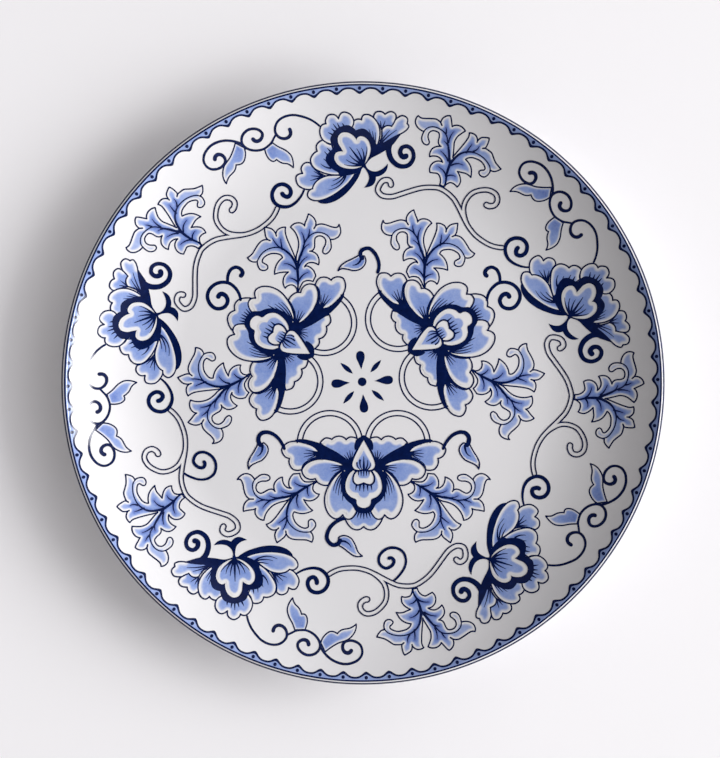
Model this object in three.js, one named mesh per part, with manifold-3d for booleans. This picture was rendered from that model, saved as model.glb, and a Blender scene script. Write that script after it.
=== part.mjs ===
// China dinner plate with a fired-on blue floral transfer decoration.
// Millimetres, +Z up. Origin on the table under the plate's centre.
// The plate rests on its foot ring and its decorated face looks up.

import * as THREE from 'three';
import { mergeVertices } from 'three/addons/utils/BufferGeometryUtils.js';
import Module from 'manifold-3d';

const wasm = await Module();
wasm.setup();

// ---- Driving dimensions ----
const PLATE_RADIUS = 133.5;
const PLATE_HEIGHT = 26;
const LIP_RADIUS = 1.5;
const WALL_ANGLE = THREE.MathUtils.degToRad(41.5);
const FLOOR_THICKNESS = 4;
const FOOT_HEIGHT = 3.06;
const FOOT_OUTER_RADIUS = 78.6;
const FOOT_INNER_RADIUS = 72.9;
const BARE_FOOT_HEIGHT = 0.8;
const FOOT_CHAMFER_HEIGHT = 0.25;
const FOOT_SHOULDER = 1;
const FOOT_OUTER_FILLET = 2;
const FOOT_OUTER_FLARE = 0.5;
const FOOT_INNER_FILLET = 1.6;
const FOOT_INNER_FLARE = 0.3;
const GLAZE_THICKNESS = 0.3;
const GLAZE_SEAT = 0.02;
const PRINT_THICKNESS = 0.12;
const PRINT_GAP = 0.06;
const LATHE_SEGMENTS = 40;
const WALL_STEPS = 3;

const BORDER_REPEATS = 5;
const SCALLOP_COUNT = 80;
const SCALLOP_OUTER_RADIUS = 131;
const SCALLOP_ARC_RADIUS = 129.8;
const SCALLOP_CUSP_RADIUS = 128.2;
const EDGE_LINE_ANGLES = [14, 34];

// Centre blossoms: where each one's hood tip lies, and which way the flower grows from it.
const CENTRE_REPEATS = [
  { tip: [0.4, -24], turn: 0 },
  { tip: [-22.3, 12.2], turn: -120 },
  { tip: [20.7, 14], turn: 120 },
];
const ROSETTE_CENTRE = [-0.3, 0.5];
const ROSETTE_TURN = 4.5;

// ---- Section of the plate, worked out from the dimensions above ----
const FLOOR_TOP = FOOT_HEIGHT + FLOOR_THICKNESS;
const LIP_CENTRE = new THREE.Vector2(PLATE_RADIUS - LIP_RADIUS, PLATE_HEIGHT - LIP_RADIUS);
const LIP_NORMAL = new THREE.Vector2(-Math.sin(WALL_ANGLE), Math.cos(WALL_ANGLE));
const FACE_END = LIP_CENTRE.clone().addScaledVector(LIP_NORMAL, LIP_RADIUS);
const BACK_END = LIP_CENTRE.clone().addScaledVector(LIP_NORMAL, -LIP_RADIUS);
const FACE_ARC = (FACE_END.y - FLOOR_TOP) / (1 - Math.cos(WALL_ANGLE));
const FACE_ARC_START = FACE_END.x - FACE_ARC * Math.sin(WALL_ANGLE);
const BACK_ARC = (BACK_END.y - FOOT_HEIGHT) / (1 - Math.cos(WALL_ANGLE));
const BACK_ARC_START = BACK_END.x - BACK_ARC * Math.sin(WALL_ANGLE);

function arcPoint(start, base, radius, angle) {
  return new THREE.Vector2(start + radius * Math.sin(angle), base + radius * (1 - Math.cos(angle)));
}

// The glazed skin from the face's centre over the lip to the foot, moved inwards by `inset`.
function outerPath(inset) {
  const path = [new THREE.Vector2(0, FLOOR_TOP - inset)];
  for (let i = 0; i <= WALL_STEPS; i += 1) {
    const angle = (WALL_ANGLE * i) / WALL_STEPS;
    path.push(arcPoint(FACE_ARC_START, FLOOR_TOP - inset, FACE_ARC + inset, angle));
  }
  for (const turn of [-45, -90, -135]) {
    const angle = WALL_ANGLE + Math.PI / 2 + THREE.MathUtils.degToRad(turn);
    const radius = LIP_RADIUS - inset;
    path.push(new THREE.Vector2(
      LIP_CENTRE.x + radius * Math.cos(angle),
      LIP_CENTRE.y + radius * Math.sin(angle),
    ));
  }
  for (let i = WALL_STEPS; i >= 1; i -= 1) {
    const angle = (WALL_ANGLE * i) / WALL_STEPS;
    path.push(arcPoint(BACK_ARC_START, FOOT_HEIGHT + inset, BACK_ARC - inset, angle));
  }
  path.push(new THREE.Vector2(FOOT_OUTER_RADIUS + FOOT_OUTER_FILLET - inset, FOOT_HEIGHT + inset));
  path.push(new THREE.Vector2(FOOT_OUTER_RADIUS + FOOT_OUTER_FLARE - inset, FOOT_HEIGHT - FOOT_SHOULDER));
  path.push(new THREE.Vector2(FOOT_OUTER_RADIUS - inset, BARE_FOOT_HEIGHT));
  return path;
}

// The glazed skin inside the foot ring, from the foot to the underside's centre.
function wellPath(inset) {
  return [
    new THREE.Vector2(FOOT_INNER_RADIUS + inset, BARE_FOOT_HEIGHT),
    new THREE.Vector2(FOOT_INNER_RADIUS - FOOT_INNER_FLARE + inset, FOOT_HEIGHT - FOOT_SHOULDER),
    new THREE.Vector2(FOOT_INNER_RADIUS - FOOT_INNER_FILLET, FOOT_HEIGHT + inset),
    new THREE.Vector2(0, FOOT_HEIGHT + inset),
  ];
}

// The unglazed edge of the foot: a flat to stand on, eased at both corners.
const FOOT_EASE = 0.6;
const FOOT_FLAT_INSET = 1.1;
const BARE_FOOT = [
  new THREE.Vector2(FOOT_OUTER_RADIUS - FOOT_EASE, FOOT_CHAMFER_HEIGHT),
  new THREE.Vector2(FOOT_OUTER_RADIUS - FOOT_FLAT_INSET, 0),
  new THREE.Vector2(FOOT_INNER_RADIUS + FOOT_FLAT_INSET, 0),
  new THREE.Vector2(FOOT_INNER_RADIUS + FOOT_EASE, FOOT_CHAMFER_HEIGHT),
];

// ---- Solids ----

// A closed mesh with shared vertices, as joining and cutting need.
function welded(geometry) {
  geometry.deleteAttribute('normal');
  geometry.deleteAttribute('uv');
  return mergeVertices(geometry, 1e-5);
}

function toSolid(geometry) {
  const closed = welded(geometry);
  const mesh = new wasm.Mesh({
    numProp: 3,
    vertProperties: Float32Array.from(closed.attributes.position.array),
    triVerts: Uint32Array.from(closed.index.array),
  });
  return new wasm.Manifold(mesh);
}

function toGeometry(solid) {
  const mesh = solid.getMesh();
  const geometry = new THREE.BufferGeometry();
  geometry.setAttribute('position', new THREE.BufferAttribute(mesh.vertProperties, 3));
  geometry.setIndex(new THREE.BufferAttribute(mesh.triVerts, 1));
  return geometry;
}

// Turns a section in radius and height about the plate's axis.
function lathe(section) {
  const geometry = new THREE.LatheGeometry(section, LATHE_SEGMENTS);
  geometry.rotateX(Math.PI / 2);
  return geometry;
}

function isInsideOut(geometry) {
  const p = geometry.attributes.position;
  const index = geometry.index;
  const [a, b, c] = [new THREE.Vector3(), new THREE.Vector3(), new THREE.Vector3()];
  let volume = 0;
  for (let i = 0; i < index.count; i += 3) {
    a.fromBufferAttribute(p, index.getX(i));
    b.fromBufferAttribute(p, index.getX(i + 1));
    c.fromBufferAttribute(p, index.getX(i + 2));
    volume += a.dot(b.cross(c));
  }
  return volume < 0;
}

function facingOut(geometry) {
  const faces = geometry.index.array;
  if (isInsideOut(geometry)) {
    for (let i = 0; i < faces.length; i += 3) {
      [faces[i], faces[i + 1]] = [faces[i + 1], faces[i]];
    }
  }
  return geometry;
}

// A turned solid with its faces pointing out, whichever way its section runs.
function turned(section) {
  return facingOut(welded(lathe(section)));
}

// The thin layer just above the face that every print is cut from.
function printLayer() {
  const face = outerPath(0).slice(0, WALL_STEPS + 2);
  const low = face.map((p) => new THREE.Vector2(p.x, p.y + PRINT_GAP));
  const high = face.map((p) => new THREE.Vector2(p.x, p.y + PRINT_GAP + PRINT_THICKNESS));
  return toSolid(turned([...low, ...high.reverse()]));
}

const PRINT_LAYER = printLayer();

// ---- Drawing helpers in plan view ----

const toVectors = (points) => points.map(([x, y]) => new THREE.Vector2(x, y));

function place(points, { origin = [0, 0], turn = 0, to = [0, 0], mirror = false }) {
  const angle = THREE.MathUtils.degToRad(turn);
  return points.map(([x, y]) => {
    const dx = mirror ? -(x - origin[0]) : x - origin[0];
    const dy = y - origin[1];
    return [
      to[0] + dx * Math.cos(angle) - dy * Math.sin(angle),
      to[1] + dx * Math.sin(angle) + dy * Math.cos(angle),
    ];
  });
}

// The outline of a stroke of the given width that follows a smooth line.
function stroke(points, width, steps) {
  const line = new THREE.SplineCurve(toVectors(points));
  const left = [];
  const right = [];
  for (let i = 0; i <= steps; i += 1) {
    const at = line.getPoint(i / steps);
    const along = line.getTangent(i / steps);
    const side = new THREE.Vector2(-along.y, along.x).multiplyScalar(width / 2);
    left.push([at.x + side.x, at.y + side.y]);
    right.push([at.x - side.x, at.y - side.y]);
  }
  return [...left, ...right.reverse()];
}

// A spiral from `from` to `to` degrees about a centre, its radius changing steadily.
function spiral(centre, from, to, startRadius, endRadius, count) {
  const points = [];
  for (let i = 0; i < count; i += 1) {
    const t = i / (count - 1);
    const angle = THREE.MathUtils.degToRad(from + (to - from) * t);
    const radius = startRadius + (endRadius - startRadius) * t;
    points.push([centre[0] + radius * Math.cos(angle), centre[1] + radius * Math.sin(angle)]);
  }
  return points;
}

// Joins flat outlines and lays them on the face as one thin patch of print.
function printed(outlines) {
  const prisms = outlines.map((outline) => {
    const shape = new THREE.Shape(toVectors(outline));
    const prism = new THREE.ExtrudeGeometry(shape, { depth: PLATE_HEIGHT, bevelEnabled: false });
    return toSolid(prism);
  });
  const joined = prisms.reduce((all, prism) => all.add(prism));
  return toGeometry(joined.intersect(PRINT_LAYER));
}

// ---- Materials ----
const porcelain = new THREE.MeshStandardMaterial({ color: 0xefece4, roughness: 0.75, metalness: 0 });
const glaze = new THREE.MeshStandardMaterial({ color: 0xf1f1f4, roughness: 0.08, metalness: 0 });
const navyPrint = new THREE.MeshStandardMaterial({ color: 0x0b1547, roughness: 0.12, metalness: 0 });
const bluePrint = new THREE.MeshStandardMaterial({ color: 0x8199d6, roughness: 0.12, metalness: 0 });

const plate = new THREE.Group();

function addPart(name, geometry, material) {
  const mesh = new THREE.Mesh(geometry, material);
  mesh.name = name;
  plate.add(mesh);
}

// ---- The fired body and its glaze ----
function addPlateBody() {
  addPart('porcelain_body', turned([
    ...outerPath(GLAZE_THICKNESS + GLAZE_SEAT),
    ...BARE_FOOT,
    ...wellPath(GLAZE_THICKNESS + GLAZE_SEAT),
  ]), porcelain);
  addPart('outer_glaze', turned([
    ...outerPath(0),
    ...outerPath(GLAZE_THICKNESS).reverse(),
  ]), glaze);
  addPart('foot_well_glaze', turned([
    ...wellPath(0).reverse(),
    ...wellPath(GLAZE_THICKNESS),
  ]), glaze);
}

// ---- Rim prints ----

// Height of the face above a point, on the flat facets between the lathe's section lines.
function faceHeight(radius, angle) {
  const facet = (2 * Math.PI) / LATHE_SEGMENTS;
  const offCentre = angle - facet * (Math.floor(angle / facet) + 0.5);
  const along = (radius * Math.cos(offCentre)) / Math.cos(facet / 2);
  const face = outerPath(0).slice(0, WALL_STEPS + 3);
  const next = face.findIndex((p) => p.x >= along);
  const [low, high] = [face[next - 1], face[next]];
  return low.y + ((high.y - low.y) * (along - low.x)) / (high.x - low.x);
}

// A closed ring on the wall whose inner edge follows the given radii, step by step.
function ringOnWall(innerRadii, outerRadius) {
  const steps = innerRadii.length;
  const positions = [];
  const faces = [];
  for (let i = 0; i < steps; i += 1) {
    const angle = (2 * Math.PI * i) / steps;
    for (const radius of [innerRadii[i], outerRadius]) {
      for (const lift of [2 * PRINT_GAP, 2 * PRINT_GAP + PRINT_THICKNESS]) {
        const z = faceHeight(radius, angle) + lift;
        positions.push(radius * Math.cos(angle), radius * Math.sin(angle), z);
      }
    }
    const here = 4 * i;
    const next = 4 * ((i + 1) % steps);
    for (const [a, b] of [[0, 2], [2, 3], [3, 1], [1, 0]]) {
      faces.push(here + b, here + a, next + b);
      faces.push(next + b, here + a, next + a);
    }
  }
  const geometry = new THREE.BufferGeometry();
  geometry.setAttribute('position', new THREE.Float32BufferAttribute(positions, 3));
  geometry.setIndex(faces);
  return facingOut(geometry);
}

// The line round the lip's outer edge, between two angles above the lip's level.
function edgeLineSection() {
  const corner = (lift, degrees) => {
    const angle = THREE.MathUtils.degToRad(degrees);
    const radius = LIP_RADIUS + lift;
    return new THREE.Vector2(
      LIP_CENTRE.x + radius * Math.cos(angle),
      LIP_CENTRE.y + radius * Math.sin(angle),
    );
  };
  const [low, high] = EDGE_LINE_ANGLES;
  const [near, far] = [PRINT_GAP, PRINT_GAP + PRINT_THICKNESS];
  return [corner(near, low), corner(far, low), corner(far, high), corner(near, high), corner(near, low)];
}

function addRimPrints() {
  const inner = [];
  for (let i = 0; i < 2 * SCALLOP_COUNT; i += 1) {
    inner.push(i % 2 === 0 ? SCALLOP_CUSP_RADIUS : SCALLOP_ARC_RADIUS);
  }
  addPart('rim_scallop_band', ringOnWall(inner, SCALLOP_OUTER_RADIUS), bluePrint);
  addPart('rim_edge_line', turned(edgeLineSection()), navyPrint);
}

// ---- Rosette ----
const CENTRE_DOT_RADIUS = 1.95;
const ROSETTE_DROP = [
  [0, 5.7], [0.8, 7.5], [1.9, 10.7], [1.6, 13], [0, 13.8], [-1.6, 13], [-1.9, 10.7], [-0.8, 7.5],
];
const ROSETTE_LEAF = [[0, 5.6], [0.9, 7.8], [1, 10], [0, 12.9], [-1, 10], [-0.9, 7.8]];

function addRosette() {
  const count = 12;
  const dot = spiral(ROSETTE_CENTRE, 0, 360 - 360 / count, CENTRE_DOT_RADIUS, CENTRE_DOT_RADIUS, count);
  addPart('centre_dot', printed([dot]), navyPrint);
  for (let i = 0; i < 8; i += 1) {
    const outline = i % 2 === 0 ? ROSETTE_DROP : ROSETTE_LEAF;
    const turn = ROSETTE_TURN + 45 * i;
    const name = `rosette_petal_${i + 1}`;
    addPart(name, printed([place(outline, { turn, to: ROSETTE_CENTRE })]), navyPrint);
  }
}

// ---- Centre prints, drawn for the flower that grows towards -Y from its hood tip ----
const TIP = CENTRE_REPEATS[0].tip;
const HALF_BLOSSOM = [
  [0, -24.3], [4, -24.9], [11, -24], [19.5, -27], [28, -25.6], [36, -27.8], [37, -31.5], [33.5, -34.5],
  [32.6, -38], [28.2, -39.2], [25.5, -42.4], [21, -43.4], [16.5, -46], [18, -53], [16, -59.5],
  [12, -61.2], [8, -61.4], [5.6, -65.4], [3, -66.1],
];
const BLOSSOM_NOTCH = [0.3, -64.9];
const SPRAY = [
  [-21.4, -45], [-26, -44.2], [-30.4, -41], [-33, -46.5], [-36.3, -42.4], [-39.6, -48.2], [-44.5, -49.6],
  [-47.7, -47], [-46, -44.3], [-42, -44], [-42.5, -41.3], [-46.5, -41.8], [-48.6, -43.5], [-52.5, -41],
  [-56.5, -43.4], [-54, -47], [-52.5, -51.5], [-54, -57.8], [-48.4, -57], [-44.3, -61.8], [-41, -56.5],
  [-36.5, -54], [-38.5, -60], [-43.3, -63.8], [-39, -66.3], [-38.6, -70.8], [-34.6, -68.3], [-30, -70.5],
  [-23, -71.8], [-23.3, -67.3], [-21.4, -63.8], [-23.5, -61.3], [-25.2, -64.8], [-28.5, -64.5],
  [-31.3, -61], [-31, -58.2], [-22.6, -57.5], [-26.5, -52.8], [-19.6, -50.2], [-22, -47.3],
];
const HOOP_CENTRE = [15.7, -26.8];
const HOOP_RADIUS = 13.65;
const HOOP_WIDTH = 1.9;
const HOOP_ANGLES = [163, 8];
const TENDRIL_WIDTH = 1.7;
const SIDE_SPIRAL_WIDTH = 1.5;
const SIDE_BUD_TENDRIL = [
  [-37, -28.3], [-38.2, -26], [-41, -23.3], [-44.5, -22.4], [-46.6, -24], [-46.3, -29],
];
const SIDE_BUD_LEAF = [
  [-47.4, -28], [-51.6, -35], [-51.3, -38.5], [-46, -35.2], [-42.8, -31], [-43.5, -28.5], [-45.5, -27],
];
const LOW_BUD_TENDRIL = [
  [-10.6, -62.7], [-13.2, -63.9], [-15.8, -67], [-15.4, -71], [-13, -72.9], [-9.6, -71.8],
];
const LOW_BUD_LEAF = [
  [-11, -71], [-8, -69], [-5.5, -70], [-3, -75], [-0.4, -77.8], [-4, -77.8], [-10.8, -73.3],
];
const TOP_BUD_TENDRIL = [[7.2, 50], [7.3, 53], [5.6, 58.4], [2.2, 60.8], [-0.9, 59.2], [-0.7, 54.8]];
const TOP_BUD_LEAF = [[-1.5, 57.2], [-9, 53.8], [-11, 50.4], [-4, 50.7], [0.5, 53], [0.8, 56]];
const SIDE_SPIRAL = [
  [-55.3, 38.3], [-57, 42], [-61, 44.9], [-66, 44.4], [-69.8, 39.8], [-68.4, 34.8], [-64.5, 33.4],
  [-61, 35.5], [-61.6, 39], [-64.6, 38.7],
];
const SIDE_SPIRAL_HOOK = [[-60.9, 45], [-60.3, 49.3], [-57.5, 51.8], [-54.6, 50.5], [-54.9, 48]];

function addCentrePrints() {
  const mirrored = HALF_BLOSSOM.map(([x, y]) => [-x, y]).reverse();
  const blossom = [...HALF_BLOSSOM, BLOSSOM_NOTCH, ...mirrored.slice(0, -1)];
  const [from, to] = HOOP_ANGLES;
  const hoop = stroke(spiral(HOOP_CENTRE, from, to, HOOP_RADIUS, HOOP_RADIUS, 12), HOOP_WIDTH, 12);
  CENTRE_REPEATS.forEach(({ tip, turn }, i) => {
    const here = { origin: TIP, to: tip, turn };
    addPart(`centre_blossom_${i + 1}`, printed([place(blossom, here)]), bluePrint);
    [true, false].forEach((mirror, side) => {
      const number = 2 * i + side + 1;
      const spray = place(SPRAY, { ...here, mirror });
      addPart(`centre_spray_${number}`, printed([spray]), bluePrint);
      addPart(`stem_hoop_${number}`, printed([place(hoop, { ...here, mirror })]), navyPrint);
    });
  });
  const tendril = (points) => stroke(points, TENDRIL_WIDTH, 12);
  const mirrorX = { origin: [TIP[0], 0], to: [TIP[0], 0], mirror: true };
  addPart('bud_left', printed([tendril(SIDE_BUD_TENDRIL), SIDE_BUD_LEAF]), bluePrint);
  addPart('bud_right', printed([
    place(tendril(SIDE_BUD_TENDRIL), mirrorX),
    place(SIDE_BUD_LEAF, mirrorX),
  ]), bluePrint);
  addPart('bud_low', printed([tendril(LOW_BUD_TENDRIL), LOW_BUD_LEAF]), bluePrint);
  addPart('bud_top', printed([tendril(TOP_BUD_TENDRIL), TOP_BUD_LEAF]), bluePrint);
  const curl = [
    stroke(SIDE_SPIRAL, SIDE_SPIRAL_WIDTH, 20),
    stroke(SIDE_SPIRAL_HOOK, SIDE_SPIRAL_WIDTH, 10),
  ];
  addPart('side_spiral_left', printed(curl), navyPrint);
  addPart('side_spiral_right', printed(curl.map((line) => place(line, mirrorX))), navyPrint);
}

// ---- Border prints, drawn for the repeat at the plate's lower left ----
const BORDER_BLOSSOM = [
  [-66.8, -73], [-62, -70.6], [-59.5, -71.7], [-56, -69.3], [-52, -70.6], [-56.3, -73.5], [-56.8, -77.2],
  [-48, -74], [-42, -73], [-35, -74], [-31, -78], [-29, -81.5], [-31, -85.6], [-28.7, -88], [-30, -92],
  [-36, -95], [-44.5, -96.5], [-47, -98.8], [-50, -98.3], [-52, -103.2], [-57.5, -105.4], [-64.5, -102.5],
  [-65.8, -97.2], [-71, -96.4], [-76, -94], [-81.5, -89.5], [-85, -83], [-83.8, -80], [-76, -79.8],
  [-62, -79], [-58.7, -77.6], [-59, -75.6],
];
const WEDGE_SPIRAL = [
  [-71.3, -79.6], [-69.4, -75], [-69.3, -71], [-71.5, -67.3], [-75, -66.5], [-78.7, -68.8], [-79.3, -72.5],
  [-76.5, -74.9], [-73.8, -73], [-74.4, -70.7], [-75.6, -70.9],
];
const JOINING_SPIRAL = [
  [-29, -85.9], [-26, -84], [-21, -83.3], [-17.5, -85], [-15.6, -88.5], [-17, -92.8], [-21, -94.8],
  [-24.5, -93], [-25, -89.5], [-22.5, -87.7], [-20.8, -89.3],
];
const RIBBON = [
  [-16, -86.4], [-10, -83.6], [-4, -83], [2, -84.2], [8, -87.5], [13.5, -90.2], [19, -91.4], [24, -91],
  [28, -88.8], [33, -83], [37, -77], [40, -74], [43.5, -73], [46, -75.3], [46, -79], [43, -81.2],
  [41.2, -79.8],
];
const RIBBON_BRANCH = [
  [6, -86.3], [9.5, -90], [10.8, -95], [8.8, -100.2], [3, -103.7], [-1, -102], [-1.2, -98.5], [2, -97.1],
];
// The scroll that grows from the ribbon of two of the five repeats.
const SCROLLED_REPEATS = [1, 5];
const RIBBON_SCROLL = [
  [14.4, -90], [18.6, -84], [19, -78], [14.5, -74.2], [9, -75.8], [7.2, -80], [10.3, -83.4], [13.8, -81],
  [12, -78.9],
];
const BORDER_SPRAY = [
  [21.9, -93.5], [19.5, -96.2], [17.3, -95.8], [17.2, -98.5], [21, -101.6], [14.8, -102.8],
  [17, -106.2], [21.3, -108], [19, -110.6], [13.5, -110.8], [12, -109.5], [13.4, -107.4], [12, -106],
  [9.6, -108], [9.4, -110.5], [6.3, -113.5], [14, -116.7], [17.4, -116.8], [18.7, -121], [22, -118.3],
  [24, -118.9], [27, -118], [26.3, -109.5], [28, -108.5], [30.6, -112.5], [29.2, -117.5], [34.5, -117.2],
  [38.2, -118.9], [40, -114.2], [44, -113], [49.8, -110.8], [47, -106.6], [43.7, -106.6], [43.2, -104],
  [41, -102.6], [39, -103.4], [41.6, -108], [40, -110], [37.8, -110], [35, -106], [36.5, -103],
  [35.5, -99.8], [29.7, -101.2], [32.4, -98], [31, -94.2], [28.5, -95.6], [24.8, -93.4],
];
const VINE_STEM = [
  [-51.4, -105.4], [-50.4, -108.8], [-47, -113.4], [-41.5, -116.4], [-36.5, -115.8], [-34, -112.4],
  [-35, -109.2], [-38.3, -108.2], [-40, -110],
];
const VINE_MIDDLE = [
  [-34.2, -112.3], [-30, -110.8], [-24, -111], [-20.2, -114.3], [-19.6, -118.6], [-24, -121],
  [-28.8, -118.4], [-27.8, -115], [-25.2, -115], [-24.5, -117],
];
const VINE_END = [
  [-19.3, -116.5], [-17.5, -120.2], [-13, -123.6], [-7, -124.9], [-1.6, -122.8], [-0.8, -117.8],
  [-5.5, -115.2], [-8.9, -117], [-8.2, -119.8], [-5.5, -119.4],
];
const VINE_LEAF_ONE = [
  [-30.5, -111.2], [-33.6, -103.2], [-33.4, -99.6], [-31.5, -96.6], [-27.6, -103.4], [-25.2, -105],
  [-25.6, -111.2],
];
const VINE_LEAF_TWO = [
  [-19.4, -116.4], [-16, -112], [-13.5, -111], [-8, -110.3], [-3.2, -108.2], [-5.2, -113.8],
  [-12, -116.5], [-17.8, -119.8],
];
const WEDGE_SPIRAL_WIDTH = 1.8;
const JOINING_SPIRAL_WIDTH = 1.7;
const RIBBON_WIDTH = 2.4;
const RIBBON_BRANCH_WIDTH = 2.2;
const RIBBON_SCROLL_WIDTH = 1.3;
const VINE_WIDTH = 1.2;

function ribbonStrokes(number) {
  const strokes = [
    stroke(JOINING_SPIRAL, JOINING_SPIRAL_WIDTH, 13),
    stroke(RIBBON, RIBBON_WIDTH, 18),
    stroke(RIBBON_BRANCH, RIBBON_BRANCH_WIDTH, 9),
  ];
  if (SCROLLED_REPEATS.includes(number)) {
    strokes.push(stroke(RIBBON_SCROLL, RIBBON_SCROLL_WIDTH, 12));
  }
  return strokes;
}

function addBorderPrints() {
  const blossom = [BORDER_BLOSSOM, stroke(WEDGE_SPIRAL, WEDGE_SPIRAL_WIDTH, 13)];
  const stems = [VINE_STEM, VINE_MIDDLE, VINE_END].map((line) => stroke(line, VINE_WIDTH, 10));
  const vine = [...stems, VINE_LEAF_ONE, VINE_LEAF_TWO];
  for (let i = 0; i < BORDER_REPEATS; i += 1) {
    const turn = (360 / BORDER_REPEATS) * i;
    const laid = (outlines) => printed(outlines.map((outline) => place(outline, { turn })));
    const number = i + 1;
    addPart(`border_blossom_${number}`, laid(blossom), bluePrint);
    addPart(`border_spray_${number}`, laid([BORDER_SPRAY]), bluePrint);
    addPart(`border_ribbon_${number}`, laid(ribbonStrokes(number)), navyPrint);
    addPart(`border_vine_${number}`, laid(vine), navyPrint);
  }
}

addPlateBody();
addRimPrints();
addRosette();
addCentrePrints();
addBorderPrints();

export default plate;
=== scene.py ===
"""China dinner plate: fine surfaces, printed decoration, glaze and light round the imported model.

Lengths are in millimetres until a mesh is made, and in metres for lamps, camera and noises.
The plan looks down on the plate's face, with +X to the right and +Y to the pattern's top.
"""

import math

import bpy
import numpy as np
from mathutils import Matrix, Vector
from mathutils.geometry import delaunay_2d_cdt


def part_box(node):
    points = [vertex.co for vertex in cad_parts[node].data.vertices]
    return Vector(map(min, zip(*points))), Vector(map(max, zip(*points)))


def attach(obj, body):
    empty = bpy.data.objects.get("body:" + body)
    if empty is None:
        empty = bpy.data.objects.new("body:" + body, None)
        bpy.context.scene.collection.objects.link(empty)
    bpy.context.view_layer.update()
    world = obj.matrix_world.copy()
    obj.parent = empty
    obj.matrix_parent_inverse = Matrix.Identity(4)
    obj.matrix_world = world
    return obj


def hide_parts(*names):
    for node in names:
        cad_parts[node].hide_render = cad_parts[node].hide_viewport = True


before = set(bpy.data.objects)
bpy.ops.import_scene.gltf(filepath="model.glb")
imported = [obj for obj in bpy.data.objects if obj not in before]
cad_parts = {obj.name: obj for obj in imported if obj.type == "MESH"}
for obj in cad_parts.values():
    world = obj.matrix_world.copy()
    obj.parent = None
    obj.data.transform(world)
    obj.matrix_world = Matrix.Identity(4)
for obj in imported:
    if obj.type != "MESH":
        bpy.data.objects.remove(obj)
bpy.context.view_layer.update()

MM = 0.001

# ---- Sizes of the plate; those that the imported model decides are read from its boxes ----
GLAZE_THICKNESS = 0.3
GLAZE_SEAT = 0.02
PRINT_CLEARANCE = 0.06
LIP_RADIUS = 1.5
WALL_ANGLE = math.radians(41.5)
FOOT_WIDTH = 5.7
BARE_FOOT_HEIGHT = 0.8
BARE_FOOT_INSET = 0.3

glaze_box = [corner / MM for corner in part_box("outer_glaze")]
well_box = [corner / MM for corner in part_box("foot_well_glaze")]
PLATE_RADIUS = (glaze_box[1].x - glaze_box[0].x) / 2
PLATE_HEIGHT = glaze_box[1].z
FLOOR_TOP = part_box("centre_dot")[0].z / MM - PRINT_CLEARANCE
FOOT_HEIGHT = well_box[1].z - GLAZE_THICKNESS
FOOT_INNER_RADIUS = well_box[1].x - GLAZE_THICKNESS
FOOT_OUTER_RADIUS = FOOT_INNER_RADIUS + FOOT_WIDTH

LIP_R = PLATE_RADIUS - LIP_RADIUS
LIP_Z = PLATE_HEIGHT - LIP_RADIUS
FACE_END_R = LIP_R - LIP_RADIUS * math.sin(WALL_ANGLE)
FACE_END_Z = LIP_Z + LIP_RADIUS * math.cos(WALL_ANGLE)
BACK_END_R = LIP_R + LIP_RADIUS * math.sin(WALL_ANGLE)
BACK_END_Z = LIP_Z - LIP_RADIUS * math.cos(WALL_ANGLE)
FACE_ARC = (FACE_END_Z - FLOOR_TOP) / (1 - math.cos(WALL_ANGLE))
FACE_START = FACE_END_R - FACE_ARC * math.sin(WALL_ANGLE)
BACK_ARC = (BACK_END_Z - FOOT_HEIGHT) / (1 - math.cos(WALL_ANGLE))
BACK_START = BACK_END_R - BACK_ARC * math.sin(WALL_ANGLE)

# ---- The decoration's layout ----
BORDER_REPEATS = 5
SCROLLED_REPEATS = (0, 4)
SCALLOPS = 80
SCALLOP_TURN = 0.65
CENTRE_PLACES = [((0.4, -24.0), 0), ((-22.3, 12.2), -120), ((20.7, 14.0), 120)]
TIP = CENTRE_PLACES[0][0]
AXIS = TIP[0]
ROSETTE_CENTRE = (-0.3, 0.45)
ROSETTE_TURN = 4.0
ROSETTE_RAYS = 8
CENTRE_DOT_RADIUS, CENTRE_DOT_CORNERS = 1.95, 10

# ---- Brushwork ----
# A point of a drawing may carry a third number: CORNER, or COVERED by the shape drawn over it.
CORNER, COVERED = 1, 2
SAMPLE_STEP = 0.4
CAP_TURNS = (36, 72, 108, 144)
MERGE_DISTANCE, LEAST_AREA = 1e-4, 1e-7
OUTLINE = 0.66
FOLD = 0.6
# Widths along a line, from its start to its end.
PETAL_VEIN = (0.85, 0.55, 0.22)
LEAF_SPINE = (0.7, 1.0, 1.3)
LEAF_BRANCH = (1.3, 1.1, 0.8, 0.4)
LEAF_VEIN = (0.85, 0.6, 0.25)
RIBBON_WIDTHS = (2.5, 2.5, 2.5, 2.6, 3.0)
RIBBON_BLANK = (1.3, 1.3, 1.3, 1.4, 1.8)

# ---- Washes ----
PETAL_FADE = 1.7
WASH_POOLING, POOLING_REACH = 0.5, 0.75
RIB_NEAR, RIB_FAR, RIB_FADE, RIB_POOLING = 2.0, 8.0, 0.12, 0.7
WASH_GRID = 0.62
GRID_ROWS = 0.87 * WASH_GRID
LEAST_TINT = 0.004

# ---- Layers of print, above the face ----
INK_LOW, INK_HIGH = 0.02, 0.07
BLOSSOM_LIFT, TENDRIL_LIFT = 0.06, 0.12


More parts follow.
